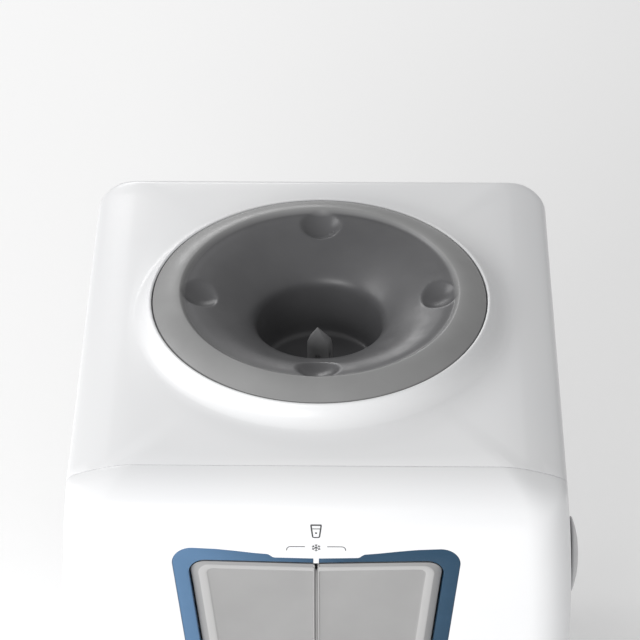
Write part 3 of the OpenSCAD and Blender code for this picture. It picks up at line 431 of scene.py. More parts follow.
cabinet = skin("cabinet_form", outer_rows)
COVER_LAP = 4.5 * MM
SIDE_STRIP = 40 * MM
front_panel = copied(cabinet, "front_panel_shell")
keep_side(front_panel, (0, SEAM - SEAM_GAP, 0), (0, -1, 0))
top_cover = copied(cabinet, "top_cover_shell")
keep_side(top_cover, (0, SEAM + SEAM_GAP, 0), (0, 1, 0))
keep_side(top_cover, (0, 0, cover_low[2] + COVER_LAP), (0, 0, 1))
side_right = copied(cabinet, "right_side_shell")
keep_side(side_right, (0, SEAM + SEAM_GAP, 0), (0, 1, 0))
keep_side(side_right, (0, 0, side_high[2]), (0, 0, -1))
side_left = copied(side_right, "left_side_shell")
keep_side(side_right, (HALF - SIDE_STRIP, 0, 0), (1, 0, 0))
keep_side(side_left, (SIDE_STRIP - HALF, 0, 0), (-1, 0, 0))
bpy.data.objects.remove(cabinet)


def prism(name, outline, y_front, y_back):
    """An outline in X and Z, extruded backwards from y_front."""
    bpy.ops.object.select_all(action="DESELECT")
    bpy.ops.mesh.primitive_circle_add(vertices=len(outline), fill_type="NGON")
    made = bpy.context.object
    made.name = made.data.name = name
    made.data.vertices.foreach_set("co", [v for x, z in outline for v in (x, y_front, z)])
    select_only(made)
    bpy.ops.object.mode_set(mode="EDIT")
    bpy.ops.mesh.select_all(action="SELECT")
    bpy.ops.mesh.extrude_region_move(TRANSFORM_OT_translate={"value": (0, y_back - y_front, 0)})
    bpy.ops.object.mode_set(mode="OBJECT")
    clean(made)
    return made


def arc(cx, cz, r, start, end, steps):
    """Points along an arc between two angles in degrees."""
    angles = [math.radians(start + (end - start) * i / steps) for i in range(steps + 1)]
    return [(cx + r * math.cos(angle), cz + r * math.sin(angle)) for angle in angles]


def both_sides(points):
    """A right half of an outline with its mirror image."""
    return points + [(-x, z) for x, z in reversed(points)]


OPEN_TOP = TOP - 39 * MM
OPEN_HALF = 86.3 * MM
OPEN_LOW = 40 * MM
CORNER = 12 * MM
DRAFT = math.tan(math.radians(5.5))
KEY_TOP = TOP - 50 * MM
KEY_LOW = KEY_TOP - 90 * MM
BAND = 9 * MM
CHIN = 18 * MM
NOTCH = 1.6 * MM
NOTCH_Z = TOP - 50.8 * MM
SAG = 8 * MM
UPPER_EDGE = [(25, 7.4), (26.2, 6.9), (27.6, 5.6), (29, 4.7), (38, 3.7), (50, 2.0), (60, 0.8)]


def open_x(z):
    """Half-width of the tapered opening at a height."""
    return OPEN_HALF - (OPEN_TOP - CORNER - z) * DRAFT


def half_opening(inset, low=None):
    """Right side of the opening, drawn in: notch, small step, gentle rise, square shoulder, tapered side."""
    points = [(NOTCH + inset, NOTCH_Z - inset), (NOTCH + inset, OPEN_TOP - SAG - inset)]
    points += [(x * MM, OPEN_TOP - drop * MM - inset) for x, drop in UPPER_EDGE]
    points += arc(OPEN_HALF - CORNER, OPEN_TOP - CORNER, CORNER - inset, 90, 0, 10)
    if low is None:
        points += arc(open_x(OPEN_LOW + CHIN) - CHIN, OPEN_LOW + CHIN, CHIN - inset, 0, -90, 8)
    else:
        points.append((open_x(low) - inset, low))
    return points


covers = ((front_panel, "front_panel"), (top_cover, "top_cover"),
          (side_left, "left_side_panel"), (side_right, "right_side_panel"))
for cover, node in covers:
    modify(cover, "SOLIDIFY", thickness=WALL, offset=-1)
    if cover == front_panel:
        opening = prism("opening_cutter", both_sides(half_opening(0)), FRONT - 10 * MM, FRONT + 12 * MM)
        cut_with(cover, opening)
        soften(cover, 0.55 * MM, 3, 50)
    else:
        soften(cover, 0.4 * MM, 2, 50)
    dress(cover, "cabinet", white, node, slot="white_cover")

# ---- Front print: a tumbler, a snowflake and two bracket lines, pad-printed over the keys ----
# Dark grey ink, a few hundredths of a millimetre thick, that follows the rounded front.
ink = Finish("print_ink", (0.03, 0.03, 0.033), 0.42)
ink.rough(ink.spread(ink.noise(900, 2), 0.3, 0.7, 0.36, 0.5))
speckle = ink.spread(ink.noise(400, 3), 0.35, 0.65, 0, 1)
ink.color(ink.mix(speckle, (0.026, 0.026, 0.03), (0.042, 0.042, 0.046)))
INK_T = 0.12 * MM


def on_front(x, z):
    """A point of the front face, which curves back towards the top."""
    rise = max(z - (TOP - FRONT_R), 0)
    return (x, FRONT + FRONT_R - math.sqrt(FRONT_R ** 2 - rise ** 2), z)


def stroke(points, width, closed=False):
    """A printed line along points in X and Z, in millimetres, with Z from the flat top."""
    sides = ([], [])
    count = len(points)
    for index, (x, z) in enumerate(points):
        before = points[(index - 1) % count if closed else max(index - 1, 0)]
        after = points[(index + 1) % count if closed else min(index + 1, count - 1)]
        dx, dz = after[0] - before[0], after[1] - before[1]
        length = math.hypot(dx, dz)
        for side, half in zip(sides, (width / 2, -width / 2)):
            side.append(on_front((x - dz / length * half) * MM, TOP + (z + dx / length * half) * MM))
    made = skin("print_line", sides, closed)
    modify(made, "SOLIDIFY", thickness=INK_T, offset=0)
    clean(made)
    return made


def joined(name, pieces):
    """Several objects made one."""
    bpy.ops.object.select_all(action="DESELECT")
    for piece in pieces:
        piece.select_set(True)
    bpy.context.view_layer.objects.active = pieces[0]
    bpy.ops.object.join()
    made = bpy.context.object
    made.name = made.data.name = name
    return made


def line(x0, z0, x1, z1, steps=6):
    """Points along a straight line."""
    return [(x0 + (x1 - x0) * i / steps, z0 + (z1 - z0) * i / steps) for i in range(steps + 1)]


def tumbler(x, z, top, foot, height):
    """A glass as an outline with a water line and a drop."""
    low, r = z - height, 0.9
    rim = line(x - top, z, x + top, z, 8)
    right = line(x + top, z - 0.3, x + foot, low + r, 8)
    base = arc(x + foot - r, low + r, r, 0, -90, 4) + arc(x - foot + r, low + r, r, -90, -180, 4)
    left = line(x - foot, low + r, x - top, z - 0.3, 8)
    pieces = [stroke(rim + right + base + left, 0.85, closed=True)]
    pieces.append(stroke(line(x - top * 0.88, z - 2.5, x + top * 0.88, z - 2.5), 0.5))
    pieces.append(stroke(arc(x, z - 5.6, 0.38, 0, 330, 11), 0.5, closed=True))
    return pieces


def snowflake(x, z, reach_out):
    """Six arms, each with a pair of barbs."""
    pieces = []
    for turn in range(6):
        angle = math.radians(60 * turn + 30)
        ux, uz = math.cos(angle), math.sin(angle)
        pieces.append(stroke(line(x, z, x + ux * reach_out, z + uz * reach_out), 0.46))
        for side in (-50, 50):
            bx, bz = x + ux * reach_out * 0.55, z + uz * reach_out * 0.55
            barb = angle + math.radians(side)
            pieces.append(stroke(line(bx, bz, bx + 1.1 * math.cos(barb), bz + 1.1 * math.sin(barb)), 0.38))
    return pieces


printing = tumbler(x=0, z=-21.3, top=3.0, foot=2.05, height=9.0) + snowflake(x=0, z=-38.4, reach_out=2.9)
for side in (-1, 1):
    bracket = line(6.6, -37.6, 15.2, -37.6) + arc(15.2, -39.9, 2.3, 80, 15, 4) + [(17.6, -40.6)]
    printing.append(stroke([(side * x, z) for x, z in bracket], 0.55))
front_print = joined("front_print", printing)
dress(front_print, "cabinet", ink, slot="black_plastic")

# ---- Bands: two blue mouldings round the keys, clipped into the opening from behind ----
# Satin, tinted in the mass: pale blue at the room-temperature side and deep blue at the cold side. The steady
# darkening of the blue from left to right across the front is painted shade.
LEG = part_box("natural_bezel")[0][2]
PALE_BLUE, DEEP_BLUE = (0.082, 0.178, 0.318), (0.006, 0.048, 0.1)
BAND_FIT = 0.15 * MM
BAND_DEEP = 8 * MM
BAND_CORNER = 10 * MM


def tinted_with_painted_shade(name):
    """Blue that darkens across the front from the pale band tone to the deep one, as painted shade, with faint
    flow marks.
    """
    made = Finish(name, DEEP_BLUE, 0.34, specular_ior_level=0.45)
    x = made.node("ShaderNodeSeparateXYZ", {}, {"Vector": made.place})
    # Painted shade: the blue is mixed darker from left to right across the front, as though the light fell
    # from the left.
    painted_shade_across = made.spread(x, -0.07, 0.02, 0, 1)
    flow = made.spread(made.noise(24, 3, (1, 1, 4)), 0.3, 0.7, -0.04, 0.04)
    made.color(made.mix((painted_shade_across + flow).clamp(), PALE_BLUE, DEEP_BLUE))
    made.rough(made.spread(made.noise(90, 3), 0.3, 0.7, 0.29, 0.39))
    made.bump(made.noise(2400, 2), 0.00003, 0.35)
    return made


def band_edge(x):
    """Height of the band's lower edge over the keys, which sags towards the middle."""
    return NOTCH_Z + 1.8 * MM * min(x / (62 * MM), 1)


light_blue = tinted_with_painted_shade("band_light_blue")
dark_blue = tinted_with_painted_shade("band_dark_blue")
for side, name, tint, slot in ((-1, "natural", light_blue, "light_blue"), (1, "cold", dark_blue, "dark_blue")):
    corner_x = open_x(KEY_TOP - BAND_CORNER) - BAND - BAND_CORNER
    inner = [(open_x(LEG) - BAND, LEG), (corner_x + BAND_CORNER, band_edge(corner_x) - BAND_CORNER)]
    inner += arc(corner_x, band_edge(corner_x) - BAND_CORNER, BAND_CORNER, 6, 90, 10)
    inner += [(30 * MM, band_edge(30 * MM)), (NOTCH + BAND_FIT, band_edge(0))]
    outline = half_opening(BAND_FIT, LEG)[1:] + inner
    bezel = prism(name + "_band", [(side * x, z) for x, z in outline], FRONT + 0.2 * MM, FRONT + BAND_DEEP)
    soften(bezel, 0.45 * MM, 3, 50)
    dress(bezel, "cabinet", tint, name + "_bezel", slot=slot)

# ---- Keys: two silver-grey moulded pads, hinged at the top, that push the taps open ----
# A sloping rim, a soft ridge and a slightly dished face, with pin lugs and a push boss behind.
KEY_FACE = FRONT + 1 * MM
GAP = 1.2 * MM
TOP_GAP = 2.5 * MM
SLIT = 0.9 * MM
key_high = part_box("cold_key")[1]
pin_low, pin_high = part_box("key_pins")
head_low, head_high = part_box("cold_plunger")
PIN_Y, PIN_Z = (pin_low[1] + pin_high[1]) / 2, (pin_low[2] + pin_high[2]) / 2
TAP_X, TAP_Z = (head_low[0] + head_high[0]) / 2, (head_low[2] + head_high[2]) / 2
KEY_CORNER = 8.8 * MM
KEY_FOOT = 3 * MM
KEY_NOOK = 0.8 * MM


def key_ring(side, top, inner, low, depth):
    """A closed line round the right key, drawn in from its four sides and set back by a depth, in mm."""
    r = max(KEY_CORNER - (side + top) * 0.35 * MM, 2.5 * MM)
    foot = KEY_FOOT
    side, top, inner, low = (v * MM for v in (side, top, inner, low))
    x0, z0 = SLIT + inner, KEY_LOW + low

    def outer(z):
        return open_x(z) - BAND - GAP - side

    def upper(x):
        return band_edge(x) - TOP_GAP - top

    corner_x = outer(KEY_TOP - KEY_CORNER) - r
    corner_z = upper(corner_x) - r
    nook = KEY_NOOK
    points = [(x0, z0 + (upper(x0) - nook - z0) * i / 9) for i in range(9)]
    points += arc(x0 + nook, upper(x0) - nook, nook, 180, 90, 3)
    for i in range(1, 11):
        x = x0 + nook + (corner_x - x0 - nook) * i / 11
        points.append((x, upper(x)))
    points += arc(corner_x, corner_z, r, 90, 0, 10)
    for i in range(1, 10):
        z = corner_z + (z0 + foot - corner_z) * i / 10
        points.append((outer(z), z))
    points += arc(outer(z0 + foot) - foot, z0 + foot, foot, 0, -90, 4)
    points += [(outer(z0) - foot + (x0 - outer(z0) + foot) * i / 10, z0) for i in range(1, 10)]
    set_back = []
    for x, z in points:
        at_top = 1 - min(max(upper(min(x, corner_x)) - z, 0) / (6 * MM), 1)
        at_slit = 1 if x < x0 + 0.5 * MM else 0
        # The rim stands less far back along the top and the slit than at the outer side and the foot.
        set_back.append(depth * (1 - 0.65 * at_top) * (1 - 0.75 * at_slit) if 1 < depth < 3 else depth)
    return [(x, KEY_FACE + back * MM, z) for (x, z), back in zip(points, set_back)]


def bar(name, r, start, end, sides=32):
    """A round bar between two points, with its edges broken."""
    start, end = Vector(start), Vector(end)
    bpy.ops.object.select_all(action="DESELECT")
    bpy.ops.mesh.primitive_cylinder_add(vertices=sides, radius=r, depth=(end - start).length,
                                        location=(start + end) / 2,
                                        rotation=(end - start).to_track_quat("Z", "Y").to_euler())
    made = bpy.context.object
    made.name = made.data.name = name
    bpy.ops.object.transform_apply(location=True, rotation=True, scale=True)
    soften(made, 0.3 * MM, 2, 50)
    return made


def block(name, place, size):
    """A cuboid at its place."""
    bpy.ops.object.select_all(action="DESELECT")
    bpy.ops.mesh.primitive_cube_add(size=1, location=place)
    made = bpy.context.object
    made.name = made.data.name = name
    made.scale = size
    bpy.ops.object.transform_apply(location=True, rotation=True, scale=True)
    return made


key_grey = Finish("key_grey", (0.335, 0.332, 0.33), 0.33, specular_ior_level=0.45)
key_depth = key_grey.node("ShaderNodeSeparateXYZ", {}, {"Vector": key_grey.place}, "Y")
# Painted highlight: the ridge is the ring of the key that stands furthest forward, and it is given a lighter
# grey than the face.
painted_highlight_ridge = key_grey.spread(key_depth, KEY_FACE + 0.25 * MM, KEY_FACE + 0.45 * MM, 1, 0)
flow = key_grey.spread(key_grey.noise(28, 3), 0.3, 0.7, 0, 1)
face_tone = key_grey.mix(flow, (0.322, 0.319, 0.318), (0.347, 0.344, 0.343))
key_grey.color(key_grey.mix(painted_highlight_ridge, face_tone, (0.46, 0.457, 0.455)))
key_grey.rough(key_grey.spread(key_grey.noise(75, 4), 0.3, 0.7, 0.28, 0.39))
key_grey.bump(key_grey.noise(2300, 2), 0.00002, 0.3)
# Each ring: drawn in at the outer side, the top, the slit and the foot, then how far it is set back.
KEY_STEPS = ((0.6, 4.5, 0.4, 0.4, 6.4), (0.3, 2.2, 0.2, 0.2, 3.3), (0, 0, 0, 0, 2.95),
             (0.2, 0.15, 0.1, 0.1, 2.7), (0.8, 0.5, 0.2, 0.4, 2.45), (4.3, 1.9, 0.3, 2.3, 0.5),
             (4.8, 2.2, 0.4, 2.6, 0.2), (5.5, 2.6, 0.6, 3.0, 0.06), (7.2, 3.6, 0.7, 4.0, 0),
             (8.9, 4.6, 0.8, 4.9, 0.07), (9.5, 5.0, 0.9, 5.3, 0.28), (10.1, 5.4, 1.2, 5.7, 0.62),
             (11, 6.1, 2, 6.4, 0.74), (17, 11, 7, 11, 0.8), (26, 24, 16, 24, 0.85))
KEY_WALL = 2.2 * MM
LUG_R, LUG_W = 4.5 * MM, 5 * MM
LUG_AT = (10 * MM, key_high[0] - 18 * MM)
BOSS_R, PUSHER_R = 4 * MM, 2 * MM
for side, name in ((1, "cold"), (-1, "natural")):
    rows = [key_ring(*step) for step in KEY_STEPS]
    middle = sum((Vector(p) for p in rows[-1]), Vector()) / len(rows[-1])
    rows.append([tuple(middle)] * len(rows[-1]))
    pad = skin(name + "_key_pad", rows)
    modify(pad, "SOLIDIFY", thickness=KEY_WALL, offset=-1)
    clean(pad)
    parts = [pad]
    web_y = KEY_FACE + 2 * MM
    for x in LUG_AT:
        parts.append(bar("lug", LUG_R, (x, PIN_Y, PIN_Z), (x + LUG_W, PIN_Y, PIN_Z)))
        web = block("web", (x + LUG_W / 2, (web_y + PIN_Y) / 2, PIN_Z - 2 * MM), (LUG_W, PIN_Y - web_y, LUG_W))
        soften(web, 0.4 * MM)
        parts.append(web)
    for part, r, start, end in (("boss", BOSS_R, KEY_FACE + 1.5 * MM, head_low[1] - 2.3 * MM),
                                ("pusher", PUSHER_R, head_low[1] - 3 * MM, head_low[1] - 0.3 * MM)):
        parts.append(bar(part, r, (TAP_X, start, TAP_Z), (TAP_X, end, TAP_Z)))
    key = joined(name + "_key_moulding", parts)
    if side < 0:
        select_only(key)
        bpy.ops.transform.mirror(constraint_axis=(True, False, False), center_override=(0, 0, 0))
        bpy.ops.object.transform_apply(location=True, rotation=True, scale=True)
        clean(key)
    dress(key, name + "_lever", key_grey, name + "_key", slot="key_grey", angle=30)

# ---- Bottle seat: a grey satin moulding with a convex lip, four dimples, a bowl and a deep well ----
# It drops into the collar and lifts out for cleaning. The piercing spike stands in the middle of the well.
WELL_FLOOR = TOP - 47 * MM
DIMPLE_AT = FUNNEL_R - 33.6 * MM
DIMPLE_R = 18 * MM
DIMPLE_UP = 26.4 * MM
DIMPLE_EDGE = 0.4 * MM
DRAIN_AT = 19.8 * MM
DRAIN_R = 4 * MM
SPIN_STEPS = 320


def curve_through(points, steps):
    """Extra points between the given ones, on a smooth curve."""
    made = []
    for i in range(len(points) - 1):
        a, b = points[max(i - 1, 0)], points[i]
        c, d = points[i + 1], points[min(i + 2, len(points) - 1)]
        for step in range(steps):
            t = step / steps
            made.append(tuple(0.5 * (2 * b[k] + (c[k] - a[k]) * t
                                     + (2 * a[k] - 5 * b[k] + 4 * c[k] - d[k]) * t * t
                                     + (3 * b[k] - a[k] - 3 * c[k] + d[k]) * t ** 3) for k in (0, 1)))
    return made + [points[-1]]


def turned(name, section, steps):
    """A closed section in radius and height, spun about the seat's axis."""
    bpy.ops.object.select_all(action="DESELECT")
    bpy.ops.mesh.primitive_circle_add(vertices=len(section))
    made = bpy.context.object
    made.name = made.data.name = name
    made.data.vertices.foreach_set("co", [v for r, z in section for v in (r, AXIS, z)])
    select_only(made)
    bpy.ops.object.mode_set(mode="EDIT")
    bpy.ops.mesh.select_all(action="SELECT")
    bpy.ops.mesh.spin(steps=steps, angle=2 * math.pi, center=(0, AXIS, 0), axis=(0, 0, 1))
    bpy.ops.object.mode_set(mode="OBJECT")
    clean(made)
    return made


lip_line = [(105.5, 10.9), (105.2, 11.7), (104.3, 12.35), (102, 13.75), (98.5, 15.5),
            (94.5, 17.0), (91, 17.8), (88.6, 17.95)]
bowl = [(88.0, 17.75), (86.9, 16.9), (85.9, 16.1), (84.6, 15.75), (79, 15.1), (72, 13.4), (66, 10.9),
        (59, 7.1), (53, 3.5), (47.5, -0.3), (44, -3.3), (41.6, -6.4), (40.3, -10), (39.9, -15)]
well = [(39.4, -40), (38.9, -44), (37.4, -46.2), (35, -47), (30, -47), (18, -47), (0, -47),
        (0, -49.8), (27.4, -49.8), (27.4, -64.6), (27.8, -65), (29.6, -65), (30, -64.6), (30, -50.4),
        (30.6, -49.8), (41, -49.8), (42.4, -48.4), (42.6, -46)]
under = [(42.7, -20), (43.2, -12), (44.6, -8.4), (50, -2), (55.4, 1.6), (61.5, 4.9), (68, 8.6),
         (73, 10.6), (80, 12.4), (87, 13.6), (92, 14.9), (97, 13.4), (100.8, 11.6), (101, 6.6),
         (101.4, 6.3), (105.2, 6.3), (105.55, 6.8)]


def raised(points):
    """Points in millimetres from the flat top, as radius and height."""
    return [(r * MM, TOP + z * MM) for r, z in points]


seat_line = raised(curve_through(lip_line, 3) + curve_through(bowl, 8))
section = seat_line + raised(well + curve_through(under, 2))
funnel = turned("bottle_seat_moulding", section, SPIN_STEPS)
# The dimples: four balls pressed into the bowl, with a soft edge.
for vertex in funnel.data.vertices:
    x, y, z = vertex.co
    r = math.hypot(x, y - AXIS)
    if r < 50 * MM or r > 90 * MM:
        continue
    surface = min(seat_line, key=lambda p: abs(p[0] - r))[1]
    quarter = round(math.atan2(y - AXIS, x) / (math.pi / 2)) * math.pi / 2
    away = math.hypot(x - DIMPLE_AT * math.cos(quarter), y - AXIS - DIMPLE_AT * math.sin(quarter))
    ball = TOP + DIMPLE_UP - math.sqrt(max(DIMPLE_R ** 2 - away ** 2, 0))
    sink = surface - ball
    vertex.co.z = z - (sink + math.hypot(sink, DIMPLE_EDGE)) / 2
drains = []
for turn in range(6):
    angle = math.radians(30 + 60 * turn)
    x, y = DRAIN_AT * math.cos(angle), AXIS + DRAIN_AT * math.sin(angle)
    low, high = (x, y, WELL_FLOOR - 6 * MM), (x, y, WELL_FLOOR + 4 * MM)
    drains.append(bar("drain", DRAIN_R, low, high, sides=24))
cut_with(funnel, joined("drains", drains))
seat_grey = Finish("seat_grey", (0.2, 0.2, 0.2), 0.36, specular_ior_level=0.5)
flat = seat_grey.node("ShaderNodeVectorMath", {"operation": "MULTIPLY"}, {0: seat_grey.place, 1: (1, 1, 0)})
spoke = seat_grey.node("ShaderNodeVectorMath", {"operation": "SUBTRACT"}, {0: flat, 1: (0, AXIS, 0)})
radius = seat_grey.node("ShaderNodeVectorMath", {"operation": "LENGTH"}, {0: spoke}, "Value")
# Painted light and shade on one grey moulding: the lip is given a light grey as if lit, and the bowl inside it
# a dark grey as if shaded.
painted_light_lip_mask = seat_grey.spread(radius, 84.5 * MM, 88.5 * MM, 0, 1)
marks = seat_grey.spread(seat_grey.noise(26, 3), 0.3, 0.7, 0, 1)
painted_shade_bowl_tone = seat_grey.mix(marks, (0.092, 0.092, 0.096), (0.112, 0.112, 0.116))
painted_light_lip_tone = seat_grey.mix(marks, (0.27, 0.27, 0.27), (0.31, 0.31, 0.31))
seat_grey.color(seat_grey.mix(painted_light_lip_mask, painted_shade_bowl_tone, painted_light_lip_tone))
seat_grey.rough(seat_grey.spread(seat_grey.noise(80, 4), 0.3, 0.7, 0.3, 0.42))
seat_grey.bump(seat_grey.noise(2300, 2), 0.00003, 0.4)
dress(funnel, "funnel", seat_grey, "bottle_funnel", slot="funnel_grey", angle=40)


WELD = 0.005 * MM


def merged(node, name):
    """A copy of a CAD node with its loose triangles merged into whole faces."""
    made = copied(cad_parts[node], name)
    select_only(made)
    bpy.ops.object.mode_set(mode="EDIT")
    bpy.ops.mesh.select_all(action="SELECT")
    bpy.ops.mesh.remove_doubles(threshold=WELD)
    bpy.ops.mesh.dissolve_limited(angle_limit=math.radians(0.6))
    bpy.ops.object.mode_set(mode="OBJECT")
    return made


def refined(node, name, body, finish, width, slot, segments=2):
    """A CAD node's shape with its edges rounded as a mould or a press leaves them."""
    made = merged(node, name)
    soften(made, width, segments)
    dress(made, body, finish, node, slot=slot)


def moulding(name, color, roughness, grain=0.00003, flow=0.05, **uniform):
    """Moulded plastic: fine grain, faint flow marks and an uneven gloss."""
    made = Finish(name, color, roughness, **uniform)
    marks = made.spread(made.noise(28, 3), 0.3, 0.7, 0, 1)
    dull, bright = (tuple(min(c * (1 + shift), 1) for c in color) for shift in (-flow, flow))
    made.color(made.mix(marks, dull, bright))
    made.rough(made.spread(made.noise(75, 4), 0.3, 0.7, roughness - 0.05, roughness + 0.06))
    made.bump(made.noise(2300, 2) + made.noise(160, 2) * 0.6, grain, 0.4)
    return made


spike_grey = moulding("spike_grey", (0.3, 0.3, 0.305), 0.4)
refined("bottle_spike", "piercing_spike", "funnel", spike_grey, 0.5 * MM, "funnel_grey")


def coat(finish, *nodes):
    """Gives carried-over CAD nodes their finish."""
    for node in nodes:
        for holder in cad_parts[node].material_slots:
            holder.material = finish.material


silicone = moulding("milky_silicone", (0.72, 0.70, 0.64), 0.45, flow=0.03, subsurface_weight=0.2)
silicone.shader.inputs["Subsurface Radius"].default_value = (0.004, 0.004, 0.003)
coat(silicone, "funnel_seal", "natural_tap_seal", "cold_tap_seal", "tap_hoses")

# ---- Taps behind the keys: white bodies, capped plungers, springs, seals, hoses and clamps ----
# The carrier plate holds the hinge pins and the two taps, and the spouts hang from the niche's ceiling.
natural_white = moulding("natural_white", (0.76, 0.76, 0.74), 0.42)
coat(natural_white, "tap_carrier", "natural_tap_body", "cold_tap_body", "tap_cap_nuts")
coat(natural_white, "tank_lid", "tank_baffle")


def drawn(name, color, roughness, streak, metallic=1.0):
    """Bare metal with fine lines along one direction and a dull bloom."""
    made = Finish(name, color, roughness, metallic=metallic)
    lines = made.noise(260, 3, streak)
    bloom = made.noise(35, 4)
    dull, bright = tuple(c * 0.88 for c in color), tuple(min(c * 1.06, 1) for c in color)
    made.color(made.mix(made.spread(bloom, 0.3, 0.7, 0, 1), dull, bright))
    made.rough(made.spread(lines * 0.6 + bloom * 0.4, 0.35, 0.65, roughness - 0.06, roughness + 0.1))
    made.bump(lines, 0.00004, 0.35)
    return made


bright_steel = drawn("bright_steel", (0.66, 0.66, 0.67), 0.24, (1, 12, 12))
coat(bright_steel, "key_pins", "hose_clamps", "natural_tap_spring", "cold_tap_spring")
coat(light_blue, "natural_plunger")
coat(dark_blue, "cold_plunger")
for name in ("natural", "cold"):
    refined(name + "_spout", name + "_spout_nozzle", "cabinet", natural_white, 0.6 * MM, "plain_white", 3)

# ---- Niche, tray and grille: pale grey mouldings that the glass stands in ----
# One deep liner with a satin face. The tray slides in under the niche and carries a lift-off grille.
niche_grey = moulding("niche_grey", (0.60, 0.605, 0.62), 0.4)
grille_grey = moulding("grille_grey", (0.40, 0.405, 0.42), 0.36)
refined("niche_liner", "niche_moulding", "cabinet", niche_grey, 0.8 * MM, "niche_grey", 3)
refined("drip_tray", "tray_moulding", "tray", niche_grey, 0.6 * MM, "niche_grey", 3)
refined("drip_grille", "grille_moulding", "grille", grille_grey, 0.45 * MM, "grille_grey")

# ---- Thermostat: a lens-shaped knob on the right side, its switch, capillary and bulb ----
# The knob is one satin light grey moulding, a smooth lens with a sunk pointer line.
knob_low, knob_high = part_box("thermostat_knob")
KNOB_R = (knob_high[1] - knob_low[1]) / 2
KNOB_Y, KNOB_Z = (knob_low[1] + knob_high[1]) / 2, (knob_low[2] + knob_high[2]) / 2
KNOB_X = HALF + 0.4 * MM
KNOB_FACE = knob_high[0]
LENS_R = KNOB_R - 0.4 * MM
LENS_X = KNOB_X + 1.3 * MM
LENS_ROWS, KNOB_SIDES = 18, 72
knob_grey = moulding("knob_grey", (0.55, 0.55, 0.56), 0.34)
dome = [(0, KNOB_X), (KNOB_R - 1 * MM, KNOB_X), (KNOB_R - 0.2 * MM, KNOB_X + 0.3 * MM),
        (KNOB_R, KNOB_X + 0.8 * MM), (LENS_R, LENS_X)]
for step in range(1, LENS_ROWS + 1):
    r = LENS_R * math.cos(math.pi / 2 * step / LENS_ROWS)
    dome.append((r, LENS_X + (KNOB_FACE - LENS_X) * (1 - (r / LENS_R) ** 2.4)))
turns = [2 * math.pi * k / KNOB_SIDES for k in range(KNOB_SIDES)]
knob = skin("knob_disc", [[(x, KNOB_Y + r * math.cos(a), KNOB_Z + r * math.sin(a)) for a in turns]
                          for r, x in dome])
pointer = block("pointer", (KNOB_FACE - 0.4 * MM, KNOB_Y, KNOB_Z + 11 * MM), (2.2 * MM, 1.6 * MM, 9 * MM))
soften(pointer, 0.5 * MM, 3)
cut_with(knob, pointer)
spindle = bar("spindle", 3 * MM, (knob_low[0], KNOB_Y, KNOB_Z), (KNOB_X + 1 * MM, KNOB_Y, KNOB_Z))
knob = joined("thermostat_dial", [knob, spindle])
dress(knob, "knob", knob_grey, "thermostat_knob", slot="knob_grey")
zinc_steel = drawn("zinc_steel", (0.62, 0.63, 0.64), 0.34, (1, 1, 9))
copper = drawn("dull_copper", (0.62, 0.30, 0.17), 0.34, (6, 6, 1))
coat(zinc_steel, "thermostat_body", "tank_shelf", "compressor_bolts")
coat(copper, "thermostat_bulb", "capillary_tube", "filter_drier")

# ---- Tank and insulation: a spun stainless tank with its lid and baffle, in two halves of foam ----
# The copper coil is wound on the tank, and the beaded foam closes round both.
stainless = drawn("spun_stainless", (0.60, 0.60, 0.59), 0.28, (1, 1, 10))
coat(stainless, "cold_tank")
foam = Finish("beaded_foam", (0.86, 0.86, 0.84), 0.75)
beads = foam.node("ShaderNodeTexVoronoi", {"feature": "DISTANCE_TO_EDGE"},
                  {"Vector": foam.place, "Scale": 280.0})
foam.color(foam.mix(foam.spread(beads, 0.0, 0.12, 0, 1), (0.72, 0.72, 0.70), (0.88, 0.88, 0.865)))
foam.rough(foam.spread(foam.noise(120, 2), 0.3, 0.7, 0.66, 0.82))
foam.bump(foam.spread(beads, 0.0, 0.2, 0, 1), 0.0003, 0.7)
coat(foam, "foam_front", "foam_rear")


def smoothed(node, name, body, finish, slot):
    """A swept CAD tube with its flat facets rounded out."""
    made = copied(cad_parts[node], name)
    select_only(made)
    bpy.ops.object.mode_set(mode="EDIT")
    bpy.ops.mesh.select_all(action="SELECT")
    bpy.ops.mesh.remove_doubles(threshold=WELD)
    wide = math.radians(60)
    bpy.ops.mesh.tris_convert_to_quads(face_threshold=wide, shape_threshold=wide)
    bpy.ops.object.mode_set(mode="OBJECT")
    modify(made, "SUBSURF", levels=1, render_levels=1)
    dress(made, body, finish, node, slot=slot, angle=60)


smoothed("evaporator_coil", "tank_coil", "cabinet", copper, "copper")
smoothed("suction_tube", "suction_pipe", "cabinet", copper, "copper")
smoothed("drain_hose", "drain_tube", "cabinet", silicone, "silicone")

# ---- Compressor bay: an enamelled shell on rubber grommets, its relay, and the steel floor pan ----
# The pan is pressed and powder coated, and four rubber feet are pushed through it.
enamel = Finish("black_enamel", (0.018, 0.02, 0.022), 0.3, coat_roughness=0.15)
orange_peel = enamel.noise(420, 2)
bloom = enamel.spread(enamel.noise(30, 4), 0.3, 0.7, 0, 1)
enamel.color(enamel.mix(bloom, (0.014, 0.016, 0.018), (0.026, 0.028, 0.03)))
enamel.rough(enamel.spread(enamel.noise(60, 4), 0.3, 0.7, 0.24, 0.4))
enamel.bump(orange_peel, 0.00006, 0.5)
rubber = moulding("black_rubber", (0.022, 0.022, 0.023), 0.62, 0.00006, 0.12)
black_plastic = moulding("black_plastic", (0.03, 0.03, 0.031), 0.46)
ivory = moulding("ivory_moulding", (0.70, 0.66, 0.54), 0.42)
dark_steel = Finish("dark_powder_coat", (0.12, 0.12, 0.125), 0.55)
cloud = dark_steel.spread(dark_steel.noise(40, 3), 0.3, 0.7, 0, 1)
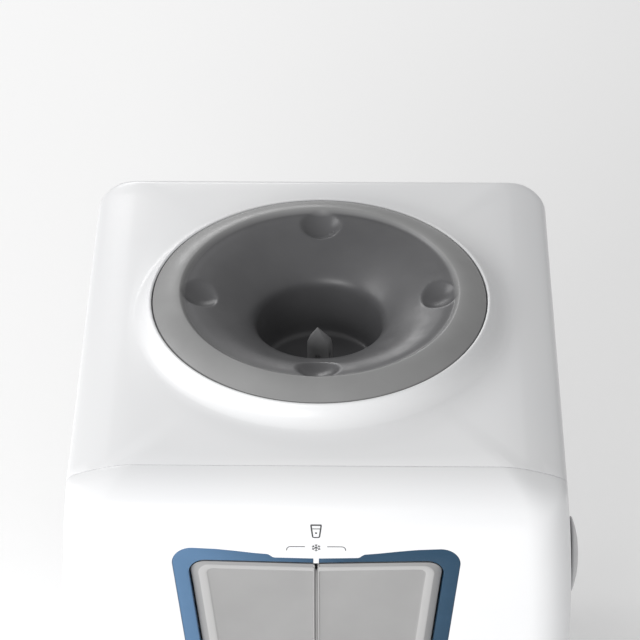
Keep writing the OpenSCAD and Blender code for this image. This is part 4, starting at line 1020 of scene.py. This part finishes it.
dark_steel.color(dark_steel.mix(cloud, (0.105, 0.105, 0.11), (0.135, 0.135, 0.14)))
dark_steel.rough(dark_steel.spread(dark_steel.noise(200, 3), 0.3, 0.7, 0.48, 0.64))
dark_steel.bump(dark_steel.noise(900, 2), 0.00008, 0.6)
coat(enamel, "compressor_shell")
coat(rubber, "compressor_grommets", "drain_cap_seal")
coat(black_plastic, "relay_cover")
coat(ivory, "terminal_block")
refined("base_pan", "floor_pan", "cabinet", dark_steel, 0.35 * MM, "dark_steel")
refined("feet", "rubber_feet", "cabinet", rubber, 0.5 * MM, "black_rubber", 3)

# ---- Rear: a pale powder-coated panel with louvres, six screws, the drain outlet and the cord gland ----
# The panel is pressed sheet, screwed to the covers, and everything on it is fixed from behind.
coated_steel = Finish("pale_powder_coat", (0.74, 0.745, 0.75), 0.5)
cloud = coated_steel.spread(coated_steel.noise(30, 3), 0.3, 0.7, 0, 1)
coated_steel.color(coated_steel.mix(cloud, (0.715, 0.72, 0.725), (0.765, 0.77, 0.775)))
coated_steel.rough(coated_steel.spread(coated_steel.noise(140, 3), 0.3, 0.7, 0.44, 0.58))
coated_steel.bump(coated_steel.noise(850, 2), 0.00008, 0.6)
refined("rear_panel", "rear_sheet", "cabinet", coated_steel, 0.3 * MM, "coated_steel")
refined("drain_spout", "drain_outlet", "cabinet", natural_white, 0.5 * MM, "plain_white")
refined("drain_cap", "drain_stopper_cap", "drain_stopper", natural_white, 0.4 * MM, "plain_white")
refined("cord_gland", "cord_gland_bush", "cabinet", black_plastic, 0.5 * MM, "black_plastic", 3)
heads = merged("cover_screws", "cover_screw_heads")
soften(heads, 0.5 * MM, 3, 50)
dress(heads, "cabinet", bright_steel, "cover_screws", slot="bright_steel")

# ---- Condenser: a black serpentine tube with wires spot-welded on both sides, on four brackets ----
# The tube carries hot gas from the compressor down to the drier.
smoothed("condenser_tube", "condenser_pipe", "cabinet", enamel, "black_enamel")
coat(enamel, "condenser_wires")
refined("condenser_brackets", "condenser_clips", "cabinet", black_plastic, 0.6 * MM, "black_plastic")
